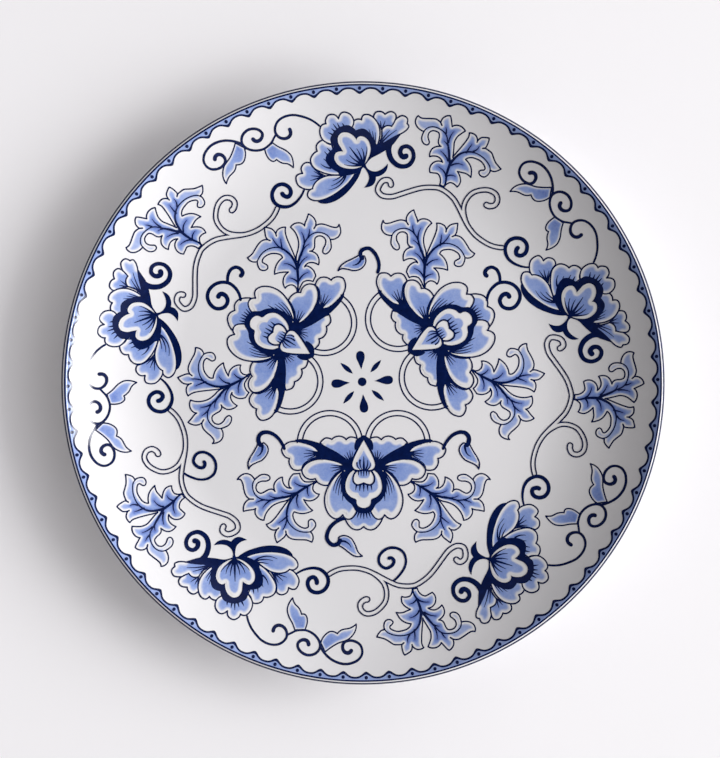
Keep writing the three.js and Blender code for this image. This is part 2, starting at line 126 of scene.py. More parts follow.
# ---- The face of the plate ----
def face_point(plan, lift):
    """Points of the plan laid on the face, `lift` off it, with the face's normals."""
    radius = np.maximum(np.hypot(plan[:, 0], plan[:, 1]), 1e-9)
    out = plan / radius[:, None]
    on_wall = np.clip(radius - FACE_START, 0, FACE_ARC) / FACE_ARC
    on_lip = np.clip((radius - LIP_R) / LIP_RADIUS, -1, 0.999)
    is_lip = radius > FACE_END_R
    lean = np.where(is_lip, on_lip, -on_wall)
    rise = np.sqrt(1 - lean**2)
    height = np.where(is_lip, LIP_Z + LIP_RADIUS * rise, FLOOR_TOP + FACE_ARC * (1 - rise))
    normal = np.column_stack([out * lean[:, None], rise])
    return np.column_stack([plan, height]) + normal * lift, normal


# ---- Drawing in plan ----
def runs(points, closed):
    """A line's smooth runs, split at its corners, which are the points marked CORNER."""
    places = [tuple(p[:2]) for p in points]
    corners = [i for i, p in enumerate(points) if p[2:] == (CORNER,)]
    if closed and corners:
        first = corners[0]
        places = places[first:] + places[:first] + [places[first]]
        corners = [c - first for c in corners] + [len(places) - 1]
    elif closed:
        places = places + places[:1]
        corners = [0, len(places) - 1]
    else:
        corners = sorted({0, *corners, len(places) - 1})
    return [np.array(places[a : b + 1], float) for a, b in zip(corners, corners[1:])]


def has_corner(points):
    return any(p[2:] == (CORNER,) for p in points)


def curve(points, is_loop=False):
    """A smooth line through points, at steps of SAMPLE_STEP."""
    if len(points) == 2:
        count = max(2, int(np.linalg.norm(points[1] - points[0]) / SAMPLE_STEP) + 1)
        return np.linspace(points[0], points[1], count)
    gaps = np.diff(points, axis=0)
    knots = np.sqrt(np.linalg.norm(gaps, axis=1))
    slopes = gaps / knots[:, None]
    inner = slopes[:-1] * knots[1:, None] + slopes[1:] * knots[:-1, None]
    inner /= (knots[:-1] + knots[1:])[:, None]
    if is_loop:
        seam = slopes[-1] * knots[0] + slopes[0] * knots[-1]
        seam /= knots[0] + knots[-1]
        start, end = seam, seam
    else:
        start, end = 2 * slopes[0] - inner[0], 2 * slopes[-1] - inner[-1]
    tangents = np.vstack([start, inner, end])
    line = []
    for i, knot in enumerate(knots):
        count = max(2, int(knot**2 / SAMPLE_STEP) + 1)
        t = np.linspace(0, 1, count, endpoint=False)[:, None]
        a, b = points[i], points[i + 1]
        u, v = tangents[i] * knot, tangents[i + 1] * knot
        line.append(
            a * (2 * t**3 - 3 * t**2 + 1) + u * (t**3 - 2 * t**2 + t)
            + b * (3 * t**2 - 2 * t**3) + v * (t**3 - t**2)
        )
    return np.vstack(line + [points[-1:]])


def outline(points):
    """The polygon inside a closed line."""
    is_loop = not has_corner(points)
    return np.vstack([curve(part, is_loop)[:-1] for part in runs(points, closed=True)])


def free_edge(points):
    """The stretches of a closed line that no other shape covers."""
    covered = {tuple(p[:2]) for p in points if p[2:] == (COVERED,)}
    parts = [part for part in runs(points, closed=True) if not covered & set(map(tuple, part))]
    return [curve(part, not has_corner(points)) for part in parts]


def brushed(line, widths):
    """The outline of a round-ended brush stroke along a line, its width changing evenly."""
    steps = np.concatenate([[0], np.cumsum(np.linalg.norm(np.diff(line, axis=0), axis=1))])
    half = np.interp(steps / steps[-1], np.linspace(0, 1, len(widths)), widths) / 2
    along = np.gradient(line, axis=0)
    along /= np.maximum(np.linalg.norm(along, axis=1), 1e-9)[:, None]
    side = np.column_stack([-along[:, 1], along[:, 0]])
    left, right = line + side * half[:, None], line - side * half[:, None]
    turn = np.radians(CAP_TURNS)[:, None]
    end = line[-1] + half[-1] * (np.cos(turn) * side[-1] + np.sin(turn) * along[-1])
    start = line[0] - half[0] * (np.cos(turn) * side[0] + np.sin(turn) * along[0])
    return np.vstack([left, end, right[::-1], start])


def is_inside(places, polygon):
    """Which places lie within a polygon that may cross itself."""
    a, b = polygon, np.roll(polygon, -1, axis=0)
    inside = np.zeros(len(places), bool)
    near = np.all((places >= a.min(0)) & (places <= a.max(0)), axis=1)
    if not near.any():
        return inside
    x, y = places[near, 0, None], places[near, 1, None]
    rising = (a[:, 1] <= y) & (b[:, 1] > y)
    falling = (a[:, 1] > y) & (b[:, 1] <= y)
    turn = (b[:, 0] - a[:, 0]) * (y - a[:, 1]) - (x - a[:, 0]) * (b[:, 1] - a[:, 1])
    winding = (rising & (turn > 0)).sum(1) - (falling & (turn < 0)).sum(1)
    inside[near] = winding != 0
    return inside


def distance_to(places, lines):
    """How far each place is from the nearest of some lines."""
    a, b = np.vstack([line[:-1] for line in lines]), np.vstack([line[1:] for line in lines])
    edge = b - a
    rest = places[:, None, :] - a
    t = (rest * edge).sum(2) / np.maximum((edge**2).sum(1), 1e-12)
    return np.linalg.norm(rest - np.clip(t, 0, 1)[..., None] * edge, axis=2).min(1)


class Drawing:
    """Ink, washes and blank paper in plan, where later shapes cover earlier ones."""

    def __init__(self):
        self.shapes = []

    def ink(self, points):
        self.shapes.append(("ink", outline(points), None))
        return self

    def paper(self, points):
        self.shapes.append(("paper", outline(points), None))

    def line(self, points, *widths, closed=False, kind="ink"):
        is_loop = closed and not has_corner(points)
        for part in runs(points, closed):
            self.shapes.append((kind, brushed(curve(part, is_loop), widths), None))

    def wash(self, points, base, near=0.5, far=1.2, soft=0.8, ribs=()):
        """A tint deepest at `base`, which stays off the outline's free edge by `near` to `far`."""
        lines = [curve(part) for rib in ribs for part in runs(rib, closed=False)]
        look = (free_edge(points), base, near, far, soft, lines)
        self.shapes.append(("wash", outline(points), look))

    def petal(self, points, base, veins=(), near=0.5, far=1.2, soft=0.8):
        self.wash(points, base, near, far, soft)
        self.line(points, OUTLINE, closed=True)
        for vein in veins:
            self.line(vein, *PETAL_VEIN)

    def patches(self):
        """The drawing cut into triangles: those of the ink, and those of the washes."""
        places, edges = [], []
        for kind, polygon, _ in self.shapes:
            first = len(places)
            count = len(polygon)
            places.extend(polygon)
            edges.extend((first + i, first + (i + 1) % count) for i in range(count))
        places = np.array(places)
        grid = self.wash_grid(places)
        places = np.vstack([places, grid]) if len(grid) else places
        cut = delaunay_2d_cdt([Vector(p) for p in places], edges, [], 0, MERGE_DISTANCE)
        corners = np.array([tuple(v) for v in cut[0]])
        triangles = np.array([f for f in cut[2] if len(f) == 3])
        a, b, c = (corners[triangles[:, i]] for i in range(3))
        area = (b - a)[:, 0] * (c - a)[:, 1] - (b - a)[:, 1] * (c - a)[:, 0]
        triangles[area < 0] = triangles[area < 0][:, ::-1]
        triangles = triangles[np.abs(area) > LEAST_AREA]
        centres = corners[triangles].mean(1)
        top = np.full(len(triangles), -1)
        for i, (_, polygon, _) in enumerate(self.shapes):
            top[is_inside(centres, polygon)] = i
        kinds = np.array([shape[0] for shape in self.shapes] + ["paper"])
        ink = trimmed(corners, triangles[kinds[top] == "ink"], None)
        washes = []
        for i, (kind, polygon, look) in enumerate(self.shapes):
            if kind == "wash" and (top == i).any():
                washes.append(washed(corners, triangles[top == i], *look))
        return ink, joined(washes)

    def wash_grid(self, places):
        """Evenly spread points inside the washes, so that a tint can change across them."""
        areas = [polygon for kind, polygon, _ in self.shapes if kind == "wash"]
        if not areas:
            return np.zeros((0, 2))
        low, high = places.min(0), places.max(0)
        rows = np.arange(low[1], high[1], GRID_ROWS)
        grid = []
        for i, y in enumerate(rows):
            x = np.arange(low[0] + (i % 2) * WASH_GRID / 2, high[0], WASH_GRID)
            grid.append(np.column_stack([x, np.full(len(x), y)]))
        grid = np.vstack(grid)
        keep = np.zeros(len(grid), bool)
        for polygon in areas:
            keep |= is_inside(grid, polygon)
        return grid[keep]


def trimmed(corners, triangles, tint):
    """Only the corners that the triangles use."""
    used, renumbered = np.unique(triangles, return_inverse=True)
    tint = np.ones(len(used)) if tint is None else tint[used]
    return corners[used], renumbered.reshape(-1, 3), tint


def eased(value):
    """A smooth step from 0 to 1."""
    value = np.clip(value, 0, 1)
    return value * value * (3 - 2 * value)


def washed(corners, triangles, edge, base, near, far, soft, ribs):
    """A wash's triangles with their depth of tint: 0 is blank, 1 pale, and 2 the deepest."""
    used = np.unique(triangles)
    places = corners[used]
    reach = np.linalg.norm(places - base, axis=1)
    reach /= np.linalg.norm(np.vstack(edge) - base, axis=1).max()
    room = near + (far - near) * np.clip(reach, 0, 1) ** 2
    depth = eased((distance_to(places, edge) - room) / soft)
    if ribs:
        off_rib = distance_to(places, ribs)
        depth *= 1 - RIB_FADE * eased((off_rib - RIB_NEAR) / (RIB_FAR - RIB_NEAR))
        depth *= 1 + RIB_POOLING * (1 - eased(off_rib / RIB_NEAR))
    else:
        depth *= 1 + WASH_POOLING * (1 - eased(reach / POOLING_REACH))
    tint = np.zeros(len(corners))
    tint[used] = depth
    tinted = tint[triangles].max(1) > LEAST_TINT
    return trimmed(corners, triangles[tinted], tint)


def joined(patches):
    """Several patches as one."""
    if not patches:
        return None
    offsets = np.cumsum([0] + [len(p[0]) for p in patches[:-1]])
    return (
        np.vstack([p[0] for p in patches]),
        np.vstack([p[1] + o for p, o in zip(patches, offsets)]),
        np.concatenate([p[2] for p in patches]),
    )


def placed(patch, turn=0.0, origin=(0, 0), to=(0, 0), mirror=False):
    """A patch mirrored about its origin, turned, and moved."""
    corners, triangles, tint = patch
    rest = corners - origin
    if mirror:
        rest = rest * (-1, 1)
        triangles = triangles[:, ::-1]
    a = math.radians(turn)
    turned = np.column_stack([
        rest[:, 0] * math.cos(a) - rest[:, 1] * math.sin(a),
        rest[:, 0] * math.sin(a) + rest[:, 1] * math.cos(a),
    ])
    return turned + to, triangles, tint


# ---- Meshes ----
def mesh_object(name, points, faces, normals=None):
    """An object from points in millimetres and faces of equal length, with a normal per corner."""
    mesh = bpy.data.meshes.new(name)
    mesh.from_pydata((points * MM).tolist(), [], faces)
    mesh.polygons.foreach_set("use_smooth", [True] * len(mesh.polygons))
    if normals is not None:
        mesh.normals_split_custom_set(normals)
    mesh.update()
    thing = bpy.data.objects.new(name, mesh)
    bpy.context.scene.collection.objects.link(thing)
    return thing


def slab(name, patch, lift=0.0):
    """A patch laid on the face as a thin closed layer of print."""
    corners, triangles, tint = patch
    high, up = face_point(corners, INK_HIGH + lift)
    low, _ = face_point(corners, INK_LOW + lift)
    count = len(corners)
    edges = np.vstack([triangles[:, [0, 1]], triangles[:, [1, 2]], triangles[:, [2, 0]]])
    keys = edges[:, 0] * count + edges[:, 1]
    rim = edges[~np.isin(keys, edges[:, 1] * count + edges[:, 0])]
    tops = triangles.tolist()
    bottoms = (triangles[:, ::-1] + count).tolist()
    sides = [(b, a, a + count, b + count) for a, b in rim.tolist()]
    across = high[rim[:, 1]] - high[rim[:, 0]]
    outward = np.cross(across, up[rim[:, 0]])
    outward /= np.maximum(np.linalg.norm(outward, axis=1), 1e-12)[:, None]
    normals = np.vstack([
        up[triangles.ravel()],
        -up[triangles[:, ::-1].ravel()],
        np.repeat(outward, 4, axis=0),
    ])
    thing = mesh_object(name, np.vstack([high, low]), tops + bottoms + sides, normals.tolist())
    depth = thing.data.attributes.new("tint", "FLOAT", "POINT")
    depth.data.foreach_set("value", np.concatenate([tint, tint]))
    return thing


SHARP_ANGLE = math.radians(50)


def turned_object(name, section, segments):
    """A section of radius and height turned about the axis."""
    points, rows = [], []
    angles = np.linspace(0, 2 * math.pi, segments, endpoint=False)
    for radius, height in section:
        if radius < 1e-6:
            rows.append([len(points)] * segments)
            points.append((0, 0, height))
        else:
            rows.append(list(range(len(points), len(points) + segments)))
            points.extend(
                (radius * math.cos(a), radius * math.sin(a), height) for a in angles
            )
    faces = []
    for row, after in zip(rows, rows[1:] + rows[:1]):
        if row[0] == row[1] and after[0] == after[1]:
            continue
        for i in range(segments):
            j = (i + 1) % segments
            face = [row[i], after[i], after[j], row[j]]
            faces.append(list(dict.fromkeys(face)))
    thing = mesh_object(name, np.array(points), faces)
    thing.data.set_sharp_from_angle(angle=SHARP_ANGLE)
    return thing


# ---- The border's drawings, for the repeat at the lower left ----
# Each back petal: its outline, the base that its tint spreads from, and its veins.
BORDER_PETALS = [
    (
        [(-79.5, -80.1, 1), (-82.5, -80), (-83.9, -80.6), (-83.9, -82, 1), (-85.3, -83.8),
         (-84.2, -86), (-81.5, -86.5), (-80, -86.2), (-77.8, -85.1, 1), (-76, -86.7),
         (-73.5, -86.7, 1), (-70.5, -83, 2), (-68, -81, 1), (-72, -81.2, 2)],
        (-68, -81),
        [[(-69, -81.9), (-74, -82.6), (-78.7, -82.5)],
         [(-69.5, -82.5), (-73, -83.6), (-76, -84.3)], [(-70, -83), (-72.5, -84.4)]],
    ),
    (
        [(-80.4, -86.3, 1), (-82.1, -88), (-81.3, -90.2), (-78.3, -91, 1), (-77.7, -92.8),
         (-75.6, -94.1), (-73.4, -93, 1), (-73.6, -89.5, 2), (-73.3, -86.5, 1), (-75.5, -86.9, 2),
         (-77.8, -85.2, 1), (-79, -85.6, 2)],
        (-74, -86.5),
        [[(-73.5, -86.8), (-75, -87.6), (-76.8, -88.8)],
         [(-73.5, -87.5), (-74.5, -89), (-75, -90)]],
    ),
    (
        [(-66, -81.5, 1), (-69.6, -83.6), (-72.5, -87), (-73.6, -91), (-72.5, -95), (-70.3, -96.4),
         (-68.5, -95.3, 1), (-67, -96.7), (-64.8, -96.9), (-63, -95.6, 1), (-64, -90, 2),
         (-64, -84, 1), (-65, -82.7, 2)],
        (-65, -82),
        [[(-66.5, -82.2), (-70.3, -87.3)], [(-66.7, -82.8), (-69.6, -88.5)],
         [(-66.9, -83.4), (-68.8, -90.2)]],
    ),
    (
        [(-41.3, -84.8, 1), (-37, -85.6, 2), (-34.3, -84.9), (-33, -83.9, 1), (-30.6, -85.3),
         (-28.7, -89), (-30.3, -92.6), (-33.4, -92, 1), (-34.3, -94.3), (-36.8, -95.1),
         (-38.8, -93.8, 1), (-39.2, -89, 2)],
        (-40, -86),
        [[(-39.8, -85.8), (-38, -89.9)], [(-39.6, -85.7), (-35.9, -88.9)],
         [(-39.4, -85.6), (-34.3, -87.4)]],
    ),
    (
        [(-46.8, -81.2, 1), (-44, -83.3), (-41, -85), (-37, -85.6), (-34.3, -84.9),
         (-33, -83.9, 1), (-31, -84.1), (-29.3, -82.6), (-29.5, -80.6), (-31.4, -78.4, 1),
         (-35, -76.8), (-41, -76), (-48, -76.6), (-52.5, -78.2, 1), (-50, -80, 2)],
        (-50, -79.5),
        [[(-48.5, -79.9), (-46, -78.5), (-42.5, -78), (-38.5, -79.2)],
         [(-48, -80.2), (-44.5, -79.4), (-40.5, -80)],
         [(-47.5, -80.8), (-45, -80.9), (-42.5, -81.4)]],
    ),
    (
        [(-46.8, -81.6, 1), (-43.5, -84), (-40.8, -87.2), (-38.9, -91.3), (-39.7, -94.6),
         (-42, -96), (-44.5, -96, 1), (-45.4, -98), (-47.6, -98.8), (-49.8, -98.2, 1),
         (-50.1, -96.3), (-51.4, -94.6, 1), (-49, -88, 2), (-47, -84)],
        (-46.5, -84),
        [[(-45, -86.5), (-43.3, -88.4), (-42.5, -90.7)], [(-45.7, -88.9), (-44.8, -91.7)],
         [(-47.3, -91.2), (-47, -94)], [(-49.2, -92.6), (-48.9, -94.5)]],
    ),
    (
        [(-63, -95.2, 1), (-65.4, -97), (-65.7, -100.4), (-63.4, -102.8), (-60.4, -101.7, 1),
         (-59.9, -104.2), (-57.5, -105.5), (-55.2, -104.4), (-54.7, -103.2, 1), (-52.5, -103.8),
         (-50.3, -102), (-49.4, -98.6), (-51.3, -95, 1), (-55, -93, 2), (-60, -93)],
        (-57.3, -94.5),
        [[(-60.6, -97.9), (-60.7, -99.2)], [(-58.6, -98.6), (-58.9, -100.5)],
         [(-57.3, -98.6), (-57.2, -101.4)], [(-55.9, -98.4), (-55.4, -100.2)],
         [(-54.2, -97.9), (-53.2, -99.8)]],
    ),
]


def border_blossom():
    """A large flower seen from the side: seven petals, a dark cup with a pale heart, scrolls."""
    d = Drawing()
    for points, base, veins in BORDER_PETALS:
        d.petal(points, base, veins, near=0.1, far=0.5, soft=2.1)
    d.ink(
        [(-58, -78.4), (-61.8, -79.4), (-66, -80.6), (-67.5, -82), (-68.1, -86), (-68.2, -88.4),
         (-67.7, -90.7), (-66.7, -92.1), (-64.8, -93), (-63.3, -93.5), (-63.1, -95.9),
         (-62, -97.3), (-60.1, -98.2), (-57.3, -98.7), (-54.5, -98.1), (-52.4, -97),
         (-51.5, -95.2), (-51.3, -93.1), (-48.9, -92.7), (-46.6, -92.1), (-45.2, -90.7),
         (-44.8, -88.4), (-45.4, -85.6), (-46.4, -83.3), (-47.2, -81), (-49.4, -79.4),
         (-52.3, -78.2), (-55, -78)]
    )
    d.wash(
        [(-57.7, -79, 1), (-61.5, -80.3), (-64.5, -82.7), (-65.7, -86), (-65.4, -88.2),
         (-63.8, -90), (-62.3, -90.1), (-61.6, -89.5, 1), (-61.5, -92), (-60.3, -94.5), (-58, -96),
         (-55.8, -95.6), (-54.3, -93.5), (-54, -91), (-53.8, -89.1, 1), (-52.6, -90),
         (-50.8, -90.5), (-49, -89.2), (-48.4, -87), (-49, -84.5), (-51.5, -81.5), (-54.8, -79.5)],
        (-57.7, -79.3), near=0.7, far=1.5, soft=1.2,
    )
    for vein in [[(-62, -82.5), (-63.6, -84.6)], [(-60.4, -82.4), (-61.4, -85.6)],
                 [(-59, -83), (-59.5, -86.6)], [(-55.9, -83), (-55.2, -86.2)],
                 [(-54.4, -82.3), (-52.9, -85.4)], [(-53.4, -81.6), (-50.9, -84.2)]]:
        d.line([(-57.7, -79.3), *vein], 1.1, 0.7, 0.24)
    d.line([(-57.7, -79.3), (-57.5, -84), (-57.3, -89)], 1.4, 0.9, 0.3)
    d.ink(
        [(-58.7, -78.4, 1), (-62, -79.3), (-67, -78.6), (-73, -78.3), (-77, -79.3),
         (-80, -80.1, 1), (-76, -80.9), (-72, -81.3), (-68.5, -83, 1), (-63, -81)]
    )
    d.ink(
        [(-57, -79, 1), (-55.3, -77.5), (-52.5, -75.8), (-49, -74.5), (-44.5, -73.4), (-40, -73.2),
         (-36.5, -73.8), (-33.5, -75.2), (-31.8, -77), (-31.4, -78.7, 1), (-33, -77.8),
         (-36, -76.6), (-41, -76), (-46, -76.3), (-50, -77.2), (-52.8, -78), (-54, -79.2, 1)]
    )
    d.ink(
        [(-66.9, -73, 1), (-64.5, -70.9), (-61.5, -70.6), (-59.2, -71.5, 1), (-57.5, -69.8),
         (-55.5, -69.3), (-53.5, -69.9), (-52, -70.7, 1), (-54.5, -71.4), (-56.5, -73),
         (-57.2, -75), (-57.3, -77.5), (-56.6, -78.8, 1), (-58.8, -78.8, 1), (-58.3, -77.3),
         (-58.8, -75.3), (-60.3, -73.6), (-62.7, -72.7)]
    )
    d.line(
        [(-72.4, -79.4), (-70.3, -77), (-69.3, -73), (-70.6, -69), (-74, -67), (-77.6, -68.2),
         (-79.2, -71.3), (-78.4, -74), (-76, -74.9), (-74.2, -73.6), (-74.1, -71.5),
         (-75.4, -70.9)],
        2.6, 2.3, 2.0, 1.75, 1.75, 2.4,
    )
    d.line(
        [(-30, -86), (-26.5, -84.1), (-22, -83.3), (-18.7, -84.2), (-16, -87), (-15.6, -90),
         (-17.3, -93), (-20.5, -94.3), (-23.5, -93.2), (-24.8, -90.2), (-23.9, -88), (-22, -87.4),
         (-20.8, -88.8), (-20.7, -90)],
        0.8, 1.2, 1.6, 1.7, 1.7, 1.8, 2.0,
    )
    return d


def border_ribbon(has_scroll):
    """The double line from one flower to the next, and its branch; two repeats carry a scroll."""
    trunk = [
        (-15.1, -86.1), (-12.4, -84.6), (-9.6, -83.7), (-5.4, -83.3), (-1.8, -83.5), (1.8, -84.4),
        (5.3, -85.9), (8.7, -87.7), (12, -89.4), (15.6, -90.9), (19.5, -91.4), (23.4, -91),
        (26.4, -89.4), (30, -86.5), (33, -82.9), (36, -78.8), (38.8, -75.3), (42.5, -73.3),
        (45.3, -74), (46.2, -76.5), (45.9, -79), (43.9, -80.5), (42.1, -79.5),
    ]
    branch = [
        (4, -85.3), (7.2, -87.6), (9.6, -90.4), (10.7, -94), (10.2, -98), (8, -101), (4.8, -103.2),
        (1.4, -103.5), (-0.8, -101.7), (-1, -99.3), (0.5, -97.7), (2, -97.3),
    ]
    d = Drawing()
    for line in [trunk, branch]:
        d.line(line, *RIBBON_WIDTHS)
    for line in [trunk, branch]:
        d.line(line, *RIBBON_BLANK, kind="paper")
    if has_scroll:
        d.line(
            [(13.9, -89), (16.5, -86.5), (18.8, -83), (19.4, -79.5), (18, -76), (14.5, -74.2),
             (10.5, -74.8), (7.4, -78), (7.5, -81.3), (10.3, -83.4), (13.3, -82), (14, -80),
             (12.9, -78.8), (11.8, -78.9)],
            1.0, 1.1, 1.3, 1.3, 1.6,
        )
    return d


def border_vine():
    """Curling stems near the rim with two tinted leaves."""
    d = Drawing()
    d.petal(
        [(-30.4, -110.4, 1), (-31.5, -107.6), (-33.3, -104.2), (-33.8, -101), (-31.5, -96.5, 1),
         (-30.6, -99), (-28.6, -101.1), (-27.5, -103.7, 1), (-25.8, -103.9), (-24.9, -106),
         (-25.9, -110.4, 1)],
        (-28, -110.5), near=0.0, far=0.3, soft=1.6,
    )
    d.petal(
        [(-18.8, -116, 1), (-17.2, -113), (-14.4, -111.2), (-11.4, -112.2, 1), (-9.5, -110.6),
         (-5.5, -109.7), (-3, -108.1, 1), (-3.6, -111.4), (-6.4, -114.5), (-11.5, -116.4),
         (-16.8, -119.8, 1)],
        (-18.2, -118), near=0.0, far=0.3, soft=1.6,
    )
    d.line(
        [(-51.7, -104.2), (-51, -106.6), (-49.6, -109.4), (-47.6, -112), (-45.2, -114.4),
         (-42.4, -115.9), (-39.6, -116.5), (-37.2, -116.2), (-35.2, -115), (-34.1, -113.4),
         (-33.9, -111.8), (-34.6, -110), (-36, -108.7), (-37.8, -108.3), (-39.3, -109),
         (-40, -110.6)],
        0.9, 1.0, 1.0, 1.2, 1.7,
    )
    d.line(
        [(-33.9, -112.5), (-32, -111.7), (-30, -110.8), (-28, -110.5), (-25.6, -110.6),
         (-23.6, -111.3), (-21.6, -112.6), (-20, -114.4), (-19.1, -116.6), (-19.4, -118.6),
         (-20.8, -120.2), (-22.8, -121), (-25.2, -120.9), (-27.6, -119.6), (-28.9, -117.8),
         (-29, -116.2), (-28, -115.1), (-26.4, -114.6), (-24.8, -115.2), (-24.2, -116.6)],
        0.9, 1.0, 1.1, 1.2, 1.2, 1.8,
    )
    d.line(
        [(-19.1, -115.4), (-19, -117.4), (-18, -119.2), (-16, -121.4), (-13.6, -123.2),
         (-10.8, -124.4), (-8, -124.9), (-5.2, -124.6), (-2.4, -123.4), (-0.6, -121.4),
         (-0.3, -119.2), (-1.2, -117), (-3.2, -115.6), (-5.6, -115.1), (-8, -115.7), (-9, -117),
         (-8.8, -119), (-7.6, -120.2), (-6.2, -120.2), (-5.2, -119.4)],
        1.0, 1.1, 1.1, 1.1, 1.2, 1.8,
    )
    return d


def leafy_spray(edge, inner_lines, spine, branches, veins):
    """A many-lobed leaf: a pale tint inside its outline, lines for its folds, and dark ribs."""
    d = Drawing()
    d.wash(edge, spine[0], near=0.2, far=0.4, soft=1.5, ribs=[spine, *branches, *veins])
    d.line(edge, OUTLINE, closed=True)
    for line in inner_lines:
        d.line(line, FOLD)
    d.line(spine, *LEAF_SPINE)
    for branch in branches:
        d.line(branch, *LEAF_BRANCH)
    for vein in veins:
        d.line(vein, *LEAF_VEIN)
    return d


def border_spray():
    return leafy_spray(
        [(22.2, -92.7, 1), (22.1, -94.1), (21.1, -95.8), (19.3, -96.3), (17.5, -96, 1),
         (17.3, -97.4), (17.7, -98.9), (19, -100.3), (21.4, -101.6, 1), (20, -102.2),
         (17.6, -103.1), (15, -103, 1), (15.7, -104.3), (16.9, -105.9), (18.6, -107.1),
         (21.6, -107.9, 1), (21.1, -109), (19.7, -110.2), (17.6, -110.9), (15.5, -111.2),
         (13.1, -110.5), (12.1, -109.7), (12.1, -109), (13.1, -108.1), (13.5, -107.2),
         (12.7, -106.3), (11.4, -106.1), (10.1, -106.7), (9.5, -108.1), (9.6, -110.5, 1),
         (8.2, -110.9), (7.2, -111.9), (6.2, -113.6, 1), (7.9, -113.9), (10, -114.5),
         (12.1, -115.7), (13.8, -116.7), (15.9, -116.8), (17.5, -116.6), (18.3, -116, 1),
         (17.4, -116.9), (17.5, -118.5), (18.1, -120.4), (18.6, -121.1, 1), (20, -120.4),
         (21.4, -119.4), (21.9, -118.2), (21.9, -116.7, 1), (22.5, -117.8), (24.2, -118.7),
         (25.9, -118.5), (27.1, -117.9, 1), (26.3, -116.4), (26.2, -113.7), (26.4, -110.5),
         (26.7, -107.4), (26.8, -105.3, 1), (27.5, -106.7), (29, -109.1), (30.2, -111.2),
         (30.4, -113.7), (29.9, -115.4), (29, -117.5, 1), (30.8, -118), (32.8, -117.7),
         (34.2, -116.8), (34.9, -115.7, 1), (36, -116.8), (37.4, -118.2), (38.3, -118.8, 1),
         (39.6, -117.8), (40.4, -116.1), (40.1, -114.3), (38.9, -113.5, 1), (40.5, -114.2),
         (42.6, -114.1), (44.6, -113), (46.7, -111.6), (48.4, -110.7), (49.9, -110.7, 1),
         (50.1, -109.5), (49.5, -107.9), (48.1, -106.9), (46, -106.5), (43.9, -106.9, 1),
         (43.6, -105.3), (42.9, -103.8), (41.5, -102.8), (40.1, -102.7), (39.1, -103.4),
         (39.2, -104.5), (40.1, -105.2), (41.2, -106.2), (41.7, -107.8), (41, -109.3),
         (39.4, -110.1), (38, -110.1), (37, -109), (36.3, -107.4), (35.4, -106.4),
         (33.9, -106.1, 1), (35.8, -104.5), (36.5, -102.9), (36.3, -101.2), (35.4, -99.6, 1),
         (34.2, -100.8), (32.5, -101.7), (30.8, -101.7), (29.2, -101, 1), (30.8, -100.5),
         (32.2, -99.1), (32.7, -97), (32.2, -95.3), (31.1, -94.1, 1), (29.7, -94.9), (28, -95.7),
         (26.3, -95.1), (25.1, -93.9), (24.4, -92.3, 1)],
        [[(9.6, -109.8), (10.7, -111.4), (12.7, -112.4), (15.9, -113), (19.3, -112.7),
          (21.4, -111.9), (23.5, -110.2)], [(43.9, -106.9), (43.6, -108.8), (42.2, -110.5),
          (39.8, -111.6), (36, -111.7), (33.9, -110.7), (32.2, -108.8), (29.7, -106.7),
          (27, -103.3)]],
        [(22.5, -92.7), (22.8, -94.6), (24.2, -97), (25.2, -99.4), (26.1, -102.6)],
        [[(26.1, -102.6), (25.9, -105.3), (25.2, -108.1), (23.5, -110.5), (20.9, -112.4)],
         [(26.1, -102.6), (27, -103.3), (29.4, -106), (31.8, -108.5), (34.2, -110.9)]],
        [[(24.2, -97), (22.8, -98.6), (20.9, -99.3)],
         [(25.2, -102.2), (23.8, -104.1), (21.2, -105.3)],
         [(20.9, -112.6), (20, -114.3), (20, -115.9)],
         [(23, -110.5), (23.2, -112.6), (23.2, -114.7)],
         [(24.5, -97), (26.3, -98.1), (29.7, -98.3)],
         [(27.7, -102.9), (29.7, -103.9), (32.8, -104.4)],
         [(30.8, -107.6), (32.5, -108.5), (34.2, -108.7)],
         [(32.2, -109.5), (33, -111.9), (33.1, -114.2)],
         [(35.3, -111.7), (36.1, -113), (37, -113.8)]],
    )


